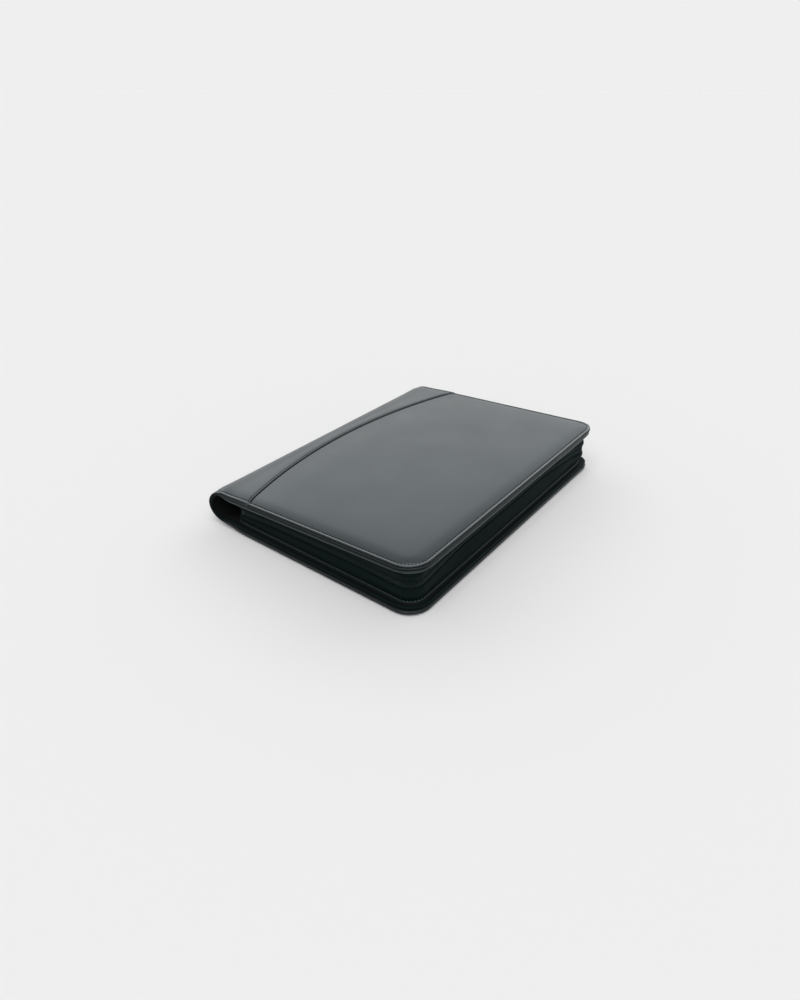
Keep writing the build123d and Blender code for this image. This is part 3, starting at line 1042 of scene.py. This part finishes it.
def stitch_row(name, length, half=1.15, thick=0.36, slope=0.0, finish=thread):
    """A straight row of stitches along x, each a slim grain of thread beside its needle's hole on a slope,
    the hole a near-black mark of painted shade.
    """
    run, rise = math.cos(slope), math.sin(slope)
    count = int(length / stitch_pitch)
    step = length / count
    ball = {"segments": 6, "ring_count": 4, "radius": 1}
    # The hole: a shallow near-black blob, painted shade where the needle went through
    hole = primitive(bpy.ops.mesh.primitive_uv_sphere_add, "hole", **ball)
    for vertex in hole.data.vertices:
        x, y, z = vertex.co
        across, depth = (y - hole_shift * rise) * hole_width, z * hole_depth
        vertex.co = (x * hole_half, across * run + depth * rise, depth * run - across * rise)
    for face in hole.data.polygons:
        face.material_index = 1
    row = primitive(bpy.ops.mesh.primitive_uv_sphere_add, name, **ball)
    for vertex in row.data.vertices:
        x, y, z = vertex.co
        vertex.co = (z * half + step / 2, x * thick + z * stitch_lean, y * thick)
    for piece in (hole, row):
        piece.data.materials.append(finish)
        piece.data.materials.append(painted_hole_shade)
    hole.select_set(True)
    bpy.ops.object.join()
    repeat(row, count, step)
    return row


def stitches(name, length, place, **kind):
    """A row of stitches, bent from a straight one to its place."""
    row = mould(stitch_row(name, length, **kind), place)
    edit(row, lambda: bpy.ops.mesh.normals_make_consistent(inside=False))
    soften(row, 80)
    return row


def rim_route(right, inset, start):
    """Line of stitches round a cover's three edges."""
    reach = corner - inset
    side = half_length - inset
    straight = right - corner - start
    end = half_length - corner
    quarter = (reach * math.pi / 2, math.pi / 2)
    return Route((start, -side), 0.0, [(straight, 0), quarter, (2 * end, 0), quarter, (straight, 0)])


def rim_stitches(name, right, onto, yoke):
    """Topstitching in the groove of a cover's turned edge, from the spine's middle and back to it."""
    route = rim_route(right, stitch_inset, nose_x - spine_arc + 1)
    over_valley = 0.16

    def place(along, out, up):
        x, y = squared(*route.beside(along, out), right)
        rise = yoke_lift(x, y) if yoke and x < seam_x(y) else 0.0
        return onto(roll(x, y, leather_height(x, stitch_valley) + over_valley + up + rise))

    return stitches(name, route.length, place, slope=rim_slope, finish=rim_thread_painted_highlight)


def seam_stitches():
    """Topstitching along the yoke's folded edge."""
    radius = seam_radius + seam_stitch_inset
    reach = half_length - rim_width
    first = math.asin((-reach - yoke_shift) / radius)
    last = math.asin((reach - yoke_shift) / radius)
    middle = nose_x + yoke_middle + seam_radius
    over_valley = 0.12

    def place(along, out, up):
        turn = first + along / radius
        x = middle - (radius + out) * math.cos(turn)
        y = yoke_shift + (radius + out) * math.sin(turn)
        level = crown_height(half_length - abs(y)) + seam_valley
        return on_front(roll(x, y, level + over_valley + up))

    return stitches("seam_stitches", (last - first) * radius, place, half=1.1, thick=0.26)


# Gusset and zip

quarter_return = (return_radius * math.pi / 2, math.pi / 2)
quarter_corner = (gusset_corner * math.pi / 2, math.pi / 2)
side_run = (gusset_fore - gusset_corner - return_x, 0)
fore_run = (2 * (gusset_side - gusset_corner), 0)
leg_end = gusset_side - return_radius - return_leg
gusset_route = Route(
    (gusset_setback, -leg_end),
    -math.pi / 2,
    [(return_leg, 0), quarter_return, side_run, quarter_corner, fore_run]
    + [quarter_corner, side_run, quarter_return, (return_leg, 0)],
)
near_start, near_end = gusset_route.starts[2], gusset_route.starts[3]
fore_start, fore_end = gusset_route.starts[4], gusset_route.starts[5]
far_start = gusset_route.starts[6]


def at_far_corner(along):
    """1 at the fore edge's far corner, falling to 0 beside it, soonest on the side where the slider stops."""
    past = along - (fore_end + far_start) / 2
    return 1 - smooth(past / far_run_slider if past > 0 else -past / far_run_fore)


def recess(along):
    """How far the zip line stands out from the gusset's foot, or is drawn in where it is less than 0."""
    fore_in = smooth((along - fore_start + fore_lead) / fore_ease_in)
    fore = fore_in * smooth((fore_end - fore_lead - along) / fore_ease_out)
    near = smooth((along - near_start) / near_ease_in) * smooth((near_end - along) / near_ease_out)
    return far_corner_out * at_far_corner(along) - fore_draw * fore - near_draw * near


def bulge(along):
    """How far the gusset's wall swells between its foot and the zip, most at the fore edge's corners."""
    near_corner = 1 - smooth(abs(along - (near_end + fore_start) / 2) / near_corner_run)
    return wall_swell + corner_swell * near_corner + corner_swell * at_far_corner(along)


def lining_line(along_x):
    """Height of the back lining's face under the zip plane."""
    return (inner_face - nose_radius - along_x * math.sin(zip_tilt)) / math.cos(zip_tilt)


# Section of the gusset: distance out, and height over the foot or under the folded edge
foot_points = [(1.75, -0.1), (1.7, 0.7), (1.45, 1.3), (1.0, 1.55), (0.5, 1.45), (0.15, 1.8)]
wall_shares = [0.0, 0.12, 0.25, 0.38, 0.5, 0.62, 0.75, 0.88, 1.0]
fold_points = [(-0.03, -0.5), (-0.25, -0.15), (-0.75, 0.0), (-1.25, -0.15), (-1.48, -0.5), (-1.5, -1.0)]


def gusset_profile(rise):
    """Section of the gusset: distance out and height over its foot, up to its fold and down inside."""
    wall = [(0.0, wall_start + share * (rise - wall_short)) for share in wall_shares]
    fold = [(out, rise + under) for out, under in fold_points]
    return foot_points + wall + fold + [(-gusset_wall, 0.0)]


def gusset(name, side):
    """One leather wall, from its sewn welt up to the folded edge beside the zip."""
    cut = Section(gusset_profile(-gusset_edge - lining_line(gusset_fore))).stations
    piece = sheet(name, gusset_route.stations(panel_step, corner_step), cut)

    def place(along, across, _):
        foot = lining_line(gusset_route.at(along)[0])
        rise = -gusset_edge - foot
        out, over = gusset_profile(rise)[bisect.bisect_left(cut, across - 0.01)]
        share = min(1.0, max(0.0, (over - swell_start) / (rise - swell_start)))
        out += recess(along) * smooth(share) + bulge(along) * math.sin(math.pi * share)
        x, y = gusset_route.beside(along, out)
        return flared(on_zip(x, y, side * (foot + over)))

    mould(piece, place)
    if side > 0:
        piece.data.flip_normals()
    soften(piece, 70)
    # The wall takes the darker leatherette with painted shade, and the welt at its foot takes the lighter one
    dress(piece, shaded_gusset_finish)
    piece.data.materials.append(welt_finish)
    welt = cut[len(foot_points) - 1] * mm
    flat = piece.data.uv_layers.active.data
    for face in piece.data.polygons:
        if max(flat[index].uv.y for index in face.loop_indices) <= welt:
            face.material_index = 1
    return piece


def zip_tape(name, side):
    """Woven tape behind the gusset's folded edge."""
    heights = [-tape_width, -7.5, -6.0, -4.5, -3.5, -2.8, -2.0, -1.2, -tape_gap]
    piece = sheet(name, gusset_route.stations(panel_step, corner_step), heights)

    def place(along, up, _):
        x, y = gusset_route.beside(along, recess(along) - gusset_wall - tape_clearance)
        return flared(on_zip(x, y, side * up))

    mould(piece, place)
    thicken(piece, tape_thickness, flipped=side > 0)
    return dress(piece, tape_finish)


def zip_coil(name, side, phase):
    """A row of coil: one tooth, bent from a rounded bar, repeated along the zip line."""
    start = near_start + chain_near - return_x
    end = gusset_route.length - near_start - chain_far + return_x
    count = int((end - start) / tooth_pitch)
    step = (end - start) / count
    bar = {"vertices": 6, "radius": 1, "depth": 2, "end_fill_type": "TRIFAN"}
    coil = primitive(bpy.ops.mesh.primitive_cylinder_add, name, **bar)
    for vertex in coil.data.vertices:
        x, y, z = vertex.co
        tip = tooth_tip if abs(z) > 0.5 else 1.0
        lean = tooth_lean * z
        along = x * tooth_half_width * tip + lean + phase * step
        vertex.co = (along, y * tooth_half_depth * tip, z * tooth_half_length + tooth_middle)
    repeat(coil, count, step)

    def place(along, out, up):
        distance = start + along
        x, y = gusset_route.beside(distance, recess(distance) - coil_setback + out)
        return on_zip(x, y, side * up)

    mould(coil, place)
    edit(coil, lambda: bpy.ops.mesh.normals_make_consistent(inside=False))
    soften(coil, 60)
    return dress(coil, nylon)


def foot_stitches(name, side):
    """Stitches along the gusset's foot."""

    def place(along, out, up):
        distance = near_start + along
        x, y = gusset_route.beside(distance, foot_stitch_out + out)
        level = lining_line(gusset_route.at(distance)[0]) + foot_stitch_up + up
        return on_zip(x, y, side * level)

    return stitches(name, gusset_route.length - 2 * near_start, place)


# Foam under the leather

def foam_pad(name, right, onto, flipped, seam):
    """Foam that crowns a cover, with a channel under the arched seam."""
    insets = [corner, 18, 16, 14, 12, 10, 8, 6.4]
    top = [(inset, crown_height(inset) - foam_drop) for inset in insets]
    edge = Section(top + [(5.6, -2.3), (5.2, -2.7), (corner - 2, -2.85)])
    columns = spaced(nose_x + foam_start, right - corner, foam_step)[:-1] + fore_columns(right, edge)
    piece = sheet(name, columns, rows_of(edge), right)

    def place(u, v, _):
        x, y, height = turned(u, v, right, edge)
        if seam and height > foam_face:
            past = x - seam_x(y)
            opened = smooth((past + channel_before) / channel_in)
            height -= channel_depth * opened * (1 - smooth((past - channel_after) / channel_out))
        return onto(Vector((x, y, max(height, foam_floor))))

    mould(piece, place)
    if flipped:
        piece.data.flip_normals()
    soften(piece)
    dress(piece, foam)
    return piece


# Writing pad

def pad_pages():
    """The pad's sheets, in thin stacks that lie a little out of line."""
    low, high = in_mm(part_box("pad_sheets"))
    middle, half = (low + high) / 2, (high - low) / 2
    height = (high.z - low.z) / page_stacks
    stacks = []
    for index in range(page_stacks):
        shift = stack_shift * math.sin(2.4 * index + 0.5)
        slide = stack_slide * math.cos(1.7 * index)
        stack = primitive(bpy.ops.mesh.primitive_cube_add, "pad_pages", size=2)
        for vertex in stack.data.vertices:
            x = middle.x + shift + vertex.co.x * (half.x - page_gap)
            y = middle.y - stack_drop + slide + vertex.co.y * (half.y - page_gap)
            z = low.z + height * (index + 0.5 + vertex.co.z * 0.5)
            vertex.co = Vector((x, y, z)) * mm
        apply_modifier(stack, "BEVEL", width=stack_round * mm, segments=1)
        stacks.append(stack)
    block = stacks[0]
    pick(block)
    for stack in stacks[1:]:
        stack.select_set(True)
    bpy.ops.object.join()
    dress(block, page_edges)
    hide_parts("pad_sheets")
    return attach(block, "back_half")


def top_page():
    """The pad's top sheet, ruled, with one corner that has curled a little."""
    low, high = in_mm(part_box("pad_sheets"))
    across = spaced(low.x + page_gap, high.x - page_gap, page_step)
    piece = sheet("top_page", across, spaced(low.y + page_gap, high.y - page_head_gap, page_step))

    def place(x, y, _):
        from_corner = math.hypot(high.x - x, y - low.y)
        lift = page_lift + page_curl * smooth(1 - from_corner / curl_reach) ** 2
        return Vector((x, y, high.z + lift))

    mould(piece, place)
    thicken(piece, page_thickness)
    dress(piece, ruled)
    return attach(piece, "back_half")


def binding_strip():
    """Binding tape over the pad's head."""
    low, high = in_mm(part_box("pad_binding"))
    fold = Section(
        [(low.y, high.z - 0.3), (low.y + 0.15, high.z - 0.06), (low.y + 1, high.z), (high.y - 3, high.z)]
        + arc_points((high.y - 0.8, high.z - 0.8), 0.8, 90, 0, 6)
        + [(high.y, high.z - 3), (high.y, low.z + 0.2)]
    )
    piece = sheet("binding_strip", spaced(low.x, high.x, 12), fold.stations)

    def place(x, length, _):
        y, z = fold.at(length)
        return Vector((x, y, z))

    mould(piece, place)
    thicken(piece, binding_thickness)
    dress(piece, binding_paper)
    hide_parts("pad_binding")
    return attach(piece, "back_half")


def rounded_copy(source, name, width, finish, body):
    """A copy of a plain solid with its edges rounded."""
    piece = bpy.data.objects.new(name, bpy.data.objects[source].data.copy())
    bpy.context.scene.collection.objects.link(piece)
    edit(
        piece,
        lambda: bpy.ops.mesh.remove_doubles(threshold=1e-6),
        lambda: bpy.ops.mesh.dissolve_limited(angle_limit=math.radians(1)),
    )
    limit = {"limit_method": "ANGLE", "angle_limit": math.radians(40)}
    apply_modifier(piece, "BEVEL", width=width * mm, segments=3, **limit)
    soften(piece, 40)
    dress(piece, finish)
    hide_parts(source)
    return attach(piece, body)


def cover_board(source, body):
    """A cover's board, a little smaller than the leather that is turned over it."""
    piece = rounded_copy(source, f"{source}_sheet", 0.2, millboard, body)
    low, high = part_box(source)
    middle, half = (low + high) / 2, (high - low) / 2
    for vertex in piece.data.vertices:
        vertex.co.x -= board_gap * mm * (vertex.co.x - middle.x) / half.x
        vertex.co.y -= board_gap * mm * (vertex.co.y - middle.y) / half.y
    piece.data.update()


def sleeve_stitches():
    """Stitches along the sleeve's three sewn sides."""
    low, high = in_mm(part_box("pad_sleeve"))
    left, right, bottom = low.x + sleeve_stitch, high.x - sleeve_stitch, low.y + sleeve_stitch
    start = high.y - sleeve_stitch_end
    run = start - bottom
    runs = [(run, 0), sharp_bend, (right - left, 0), sharp_bend, (run, 0)]
    route = Route((left, start), -math.pi / 2, runs)

    def place(along, out, up):
        x, y = route.beside(along, out)
        return Vector((x, y, high.z + sleeve_stitch_up + up))

    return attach(stitches("sleeve_stitches", route.length, place, thick=fine_stitch), "back_half")


# Pockets on the front lining

def front_span(source, base, thickness):
    """A pocket's left, right, bottom and top in the front cover's own directions."""
    low, high = in_mm(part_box(source))
    left = apex_x + (low.x - apex_x - base * math.sin(wedge)) / math.cos(wedge)
    right = apex_x + (high.x - apex_x - (base + thickness) * math.sin(wedge)) / math.cos(wedge)
    return left, right, low.y, high.y


def sewn_edge(thickness):
    """Edge of a sewn patch: a shallow stitch channel, then a rounded edge down to what it lies on."""
    return Section(
        [(patch_zone, thickness), (3.8, thickness), (3.4, thickness - 0.1), (patch_stitch, thickness - 0.2)]
        + [(2.6, thickness - 0.1), (2.2, thickness), (0.7, thickness), (0.2, thickness * 0.85)]
        + [(0.0, thickness * 0.5), (0.0, 0.0)]
    )


def patch_stations(start, end, section):
    """Stations across a sewn patch, with both of its edges turned over."""
    over = [station - patch_zone for station in section.stations[1:]]
    flat = spaced(start + patch_zone, end - patch_zone, patch_step)
    return [start - step for step in reversed(over)] + flat + [end + step for step in over]


def inside_front(x, y, level):
    """A place over the front lining, facing into the padfolio."""
    return on_front(Vector((x, y, -level)))


def pocket_front(source, name, base, thickness, swell, dip=0.0):
    """A pocket front: sewn round three sides, hemmed along its open top, a little slack there."""
    left, right, bottom, top = front_span(source, base, thickness)
    edge = sewn_edge(thickness)
    piece = sheet(name, patch_stations(left, right, edge), patch_stations(bottom, top, edge))

    def slack(x, y):
        """How far the leather stands off, and how far its open edge dips."""
        share = min(1.0, max(0.0, (x - left) / (right - left)))
        rise = min(1.0, max(0.0, (y - bottom) / (top - bottom)))
        loose = swell * math.sin(math.pi * rise) + mouth_slack * smooth((y - top + mouth_run) / mouth_run)
        lower = dip * (1 - (2 * share - 1) ** 2) * smooth((y - top + dip_run) / dip_run)
        return math.sin(math.pi * share) * loose, lower

    def place(u, v, _):
        over_x = max(0.0, u - right + patch_zone, left + patch_zone - u)
        over_low = max(0.0, bottom + patch_zone - v)
        over_top = max(0.0, v - top + patch_zone)
        inset, height = edge.at(max(over_x, over_low))
        turn = corner_turn(over_x, over_low)
        inner = min(max(u, left + patch_zone), right - patch_zone)
        x = inner + math.copysign((patch_zone - inset) * math.cos(turn), u - inner)
        y = max(v, bottom + patch_zone) - (patch_zone - inset) * math.sin(turn)
        if over_top:
            hem_inset, hem_height = edge.at(over_top)
            y = top - hem_inset
            height = min(height, hem_height)
        stand, lower = slack(x, y)
        return inside_front(x, y - lower, base + height + stand)

    mould(piece, place)
    piece.data.flip_normals()
    soften(piece)
    dress(piece, inner_finish)
    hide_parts(source)
    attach(piece, "front_half")
    reach = patch_zone - patch_stitch
    quarter = (reach * math.pi / 2, math.pi / 2)
    run = (top - hem_stitch - bottom - patch_zone, 0)
    foot = (right - left - 2 * patch_zone, 0)
    sides = Route((left + patch_stitch, top - hem_stitch), -math.pi / 2, [run, quarter, foot, quarter, run])

    def place_side(along, out, up):
        x, y = sides.beside(along, out)
        stand, lower = slack(x, y)
        return inside_front(x, y - lower, base + thickness - patch_stitch_sink + stand + up)

    def place_hem(along, out, up):
        x, y = left + patch_zone + along, top - hem_stitch + out
        stand, lower = slack(x, y)
        return inside_front(x, y - lower, base + thickness + stand + up)

    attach(stitches(f"{name}_stitches", sides.length, place_side, thick=fine_stitch), "front_half")
    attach(stitches(f"{name}_hem_stitches", foot[0], place_hem, thick=fine_stitch), "front_half")


def window_sheet():
    """The window's clear vinyl, just off the pocket behind it."""
    piece = rounded_copy("window_film", "window_vinyl", 0.08, vinyl, "front_half")
    off = (inside_front(0, 0, vinyl_gap) - inside_front(0, 0, 0)) * mm
    for vertex in piece.data.vertices:
        vertex.co += off
    piece.data.update()


def window_stitches():
    """Stitches round the window's frame, outside and inside."""
    left, right, bottom, top = front_span("window_frame", pocket_level, pocket)
    insets = {"window_outer_stitches": window_stitch, "window_inner_stitches": window_border - window_stitch}
    for name, inset in insets.items():
        wide, tall = right - left - 2 * inset, top - bottom - 2 * inset
        foot, side = (wide, 0), (tall, 0)
        runs = [foot, sharp_bend, side, sharp_bend, foot, sharp_bend, side]
        route = Route((left + inset, bottom + inset), 0.0, runs)

        def place(along, out, up, route=route):
            x, y = route.beside(along, out)
            return inside_front(x, y, pocket_level + pocket + window_stitch_up + up)

        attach(stitches(name, route.length, place, thick=fine_stitch), "front_half")


# Pen loop

def pen_band():
    """Elastic band sewn to the spine's lining by its flattened side."""
    middle = loop_radius + loop_wall / 2 - (nose_radius - spine_inner_face)
    seat = loop_radius - loop_flat
    stations = [turn * loop_radius for turn in spaced(0, 2 * math.pi, loop_turn)]
    piece = sheet("pen_band", stations, spaced(-loop_half, loop_half, loop_step))

    def place(around, side, _):
        turn = around / loop_radius
        along = max(-seat, loop_radius * math.cos(turn))
        pinch = 1 - loop_pinch * math.cos(2 * math.pi * side / loop_half)
        return on_zip(middle + along, side, loop_radius * pinch * math.sin(turn))

    mould(piece, place)
    edit(
        piece,
        lambda: bpy.ops.mesh.remove_doubles(threshold=1e-6),
        lambda: bpy.ops.mesh.normals_make_consistent(inside=False),
    )
    apply_modifier(piece, "SOLIDIFY", thickness=loop_wall * mm, offset=0, use_even_offset=False)
    soften(piece)
    dress(piece, elastic)
    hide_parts("pen_loop")
    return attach(piece, "spine")


# Build
back_foam = foam_pad("back_foam", back_right, on_back, flipped=True, seam=False)
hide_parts("back_padding")
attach(back_foam, "back_half")
front_foam = foam_pad("front_foam", front_right, on_front, flipped=False, seam=True)
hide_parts("front_padding")
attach(front_foam, "front_half")
back_leather()
yoke_leather()
front_panel()
# The back lining's border takes the darker gusset leatherette, painted shade along the lower cover's rim; the
# front's border takes the border leatherette
back_lining = lining_panel("back_lining_panel", back_right, on_back, flipped=False, border=shaded_gusset_finish)
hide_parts("back_lining", "spine_lining")
fold_with_back(back_lining)
front_lining = lining_panel("front_lining_panel", front_right, on_front, flipped=True, border=border_finish)
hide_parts("front_lining", "spine_lining")
fold_with_front(front_lining)
fold_with_back(stiffener_half("stiffener_low", on_back, flipped=True))
fold_with_front(stiffener_half("stiffener_high", on_front, flipped=False))
fold_with_back(rim_stitches("back_rim_stitches", back_right, on_back, yoke=False))
fold_with_front(rim_stitches("front_rim_stitches", front_right, on_front, yoke=True))
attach(seam_stitches(), "front_half")

for prefix, side, body, phase, lining in (
    ("lower", 1, "back_half", 0.25, "back_lining_panel"),
    ("upper", -1, "front_half", 0.75, "front_lining_panel"),
):
    wall = gusset(f"{prefix}_gusset_wall", side)
    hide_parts(f"{prefix}_gusset")
    tape = zip_tape(f"{prefix}_tape", side)
    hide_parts(f"{prefix}_zip_tape")
    coil = zip_coil(f"{prefix}_coil", side, phase)
    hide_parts(f"{prefix}_zip_coil")
    for piece in (wall, tape, coil, foot_stitches(f"{prefix}_foot_stitches", side)):
        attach(piece, body)

pad_pages()
top_page()
binding_strip()
sleeve = rounded_copy("pad_sleeve", "sleeve_leather", 0.35, inner_finish, "back_half")
sleeve_stitches()
lowest = pocket_level - pocket
pocket_front("document_pocket", "document_pocket_front", lowest, pocket, swell=0.0, dip=pocket_dip)
pocket_front("phone_pocket", "phone_pocket_front", pocket_level, pocket, swell=0.5)
for index in range(3):
    level = pocket_level + index * card_pocket
    pocket_front(f"card_pocket_{index + 1}", f"card_pocket_front_{index + 1}", level, card_pocket, swell=0.15)
rounded_copy("window_frame", "window_frame_leather", 0.35, inner_finish, "front_half")
window_sheet()
window_stitches()
pen_band()
rounded_copy("zip_slider", "slider_body", 0.3, metal, "slider")
rounded_copy("zip_pull", "pull_tab", 0.3, metal, "pull")
stops = {"zip_bottom_stop": "back_half", "lower_top_stop": "back_half", "upper_top_stop": "front_half"}
for stop, body in stops.items():
    rounded_copy(stop, f"{stop}_metal", 0.25, paint, body)
cover_board("back_board", "back_half")
cover_board("front_board", "front_half")
dress(bpy.data.objects["pad_backing"], pad_board)

# Stage
horizon = 0.863
softbox = 1.58
softbox_way = Vector((-0.61, 0.79, 0))
key_energy = 1.75
key_spread = math.radians(60)
key_way = Vector((-0.25, 0.32, -0.91))
floor_size = 80.0
floor_place = (0, 0, -0.0002)
camera_place = Vector((391.2, -538.1, 398.1)) * mm
camera_way = Vector((-0.517, 0.6766, -0.5244))
focal_length = 24.49
sensor_width = 36.0


def sky_ramp(tree, height, stops):
    """Light from the sky by height, as a share of the brightest."""
    ramp = node(tree, "ShaderNodeValToRGB", [("Fac", height)])
    for index, (place, level) in enumerate(stops):
        if index < 2:
            stop = ramp.color_ramp.elements[index]
            stop.position = place
        else:
            stop = ramp.color_ramp.elements.new(place)
        share = level / softbox
        stop.color = (share, share, share, 1)
    return ramp.outputs["Color"]


def studio():
    """A pale floor, a sky that meets it without a line, softboxes behind the object, and one broad lamp."""
    floor = primitive(bpy.ops.mesh.primitive_plane_add, "floor", size=floor_size, location=floor_place)
    finish, _, _ = new_finish("pale_floor", (0.86, 0.862, 0.86), 0.9, Specular_IOR_Level=0.0)
    floor.data.materials.append(finish)
    world = bpy.data.worlds.new("studio")
    bpy.context.scene.world = world
    world.use_nodes = True
    tree = world.node_tree
    background = tree.nodes["Background"]
    ray = node(tree, "ShaderNodeTexCoord")
    way = ray.outputs["Generated"]
    height = node(tree, "ShaderNodeSeparateXYZ", [("Vector", way)]).outputs["Z"]
    facing = node(tree, "ShaderNodeVectorMath", [(0, way)], operation="DOT_PRODUCT")
    facing.inputs[1].default_value = softbox_way
    behind = mapped(tree, facing.outputs["Value"], From_Min=-0.1, From_Max=0.6)
    low_sky = [(0.0, horizon), (0.1, horizon)]
    high_sky = [(0.3, softbox), (0.5, softbox), (0.62, 0.8), (0.75, 0.3), (1.0, 0.25)]
    front = sky_ramp(tree, height, low_sky + [(0.35, 0.35), (1.0, 0.25)])
    back = sky_ramp(tree, height, low_sky + high_sky)
    background.inputs["Strength"].default_value = softbox
    tree.links.new(mixed(tree, behind, front, back), background.inputs["Color"])
    lamp = bpy.data.lights.new("key", "SUN")
    lamp.energy = key_energy
    lamp.angle = key_spread
    sun = bpy.data.objects.new("key", lamp)
    bpy.context.scene.collection.objects.link(sun)
    sun.rotation_euler = key_way.to_track_quat("-Z", "Y").to_euler()


def camera():
    """The view of the photograph."""
    lens = bpy.data.cameras.new("camera")
    lens.lens = focal_length
    lens.sensor_width = sensor_width
    eye = bpy.data.objects.new("camera", lens)
    bpy.context.scene.collection.objects.link(eye)
    eye.location = camera_place
    eye.rotation_euler = camera_way.to_track_quat("-Z", "Y").to_euler()
    bpy.context.scene.camera = eye


studio()
camera()
bpy.context.scene.view_settings.view_transform = "Standard"
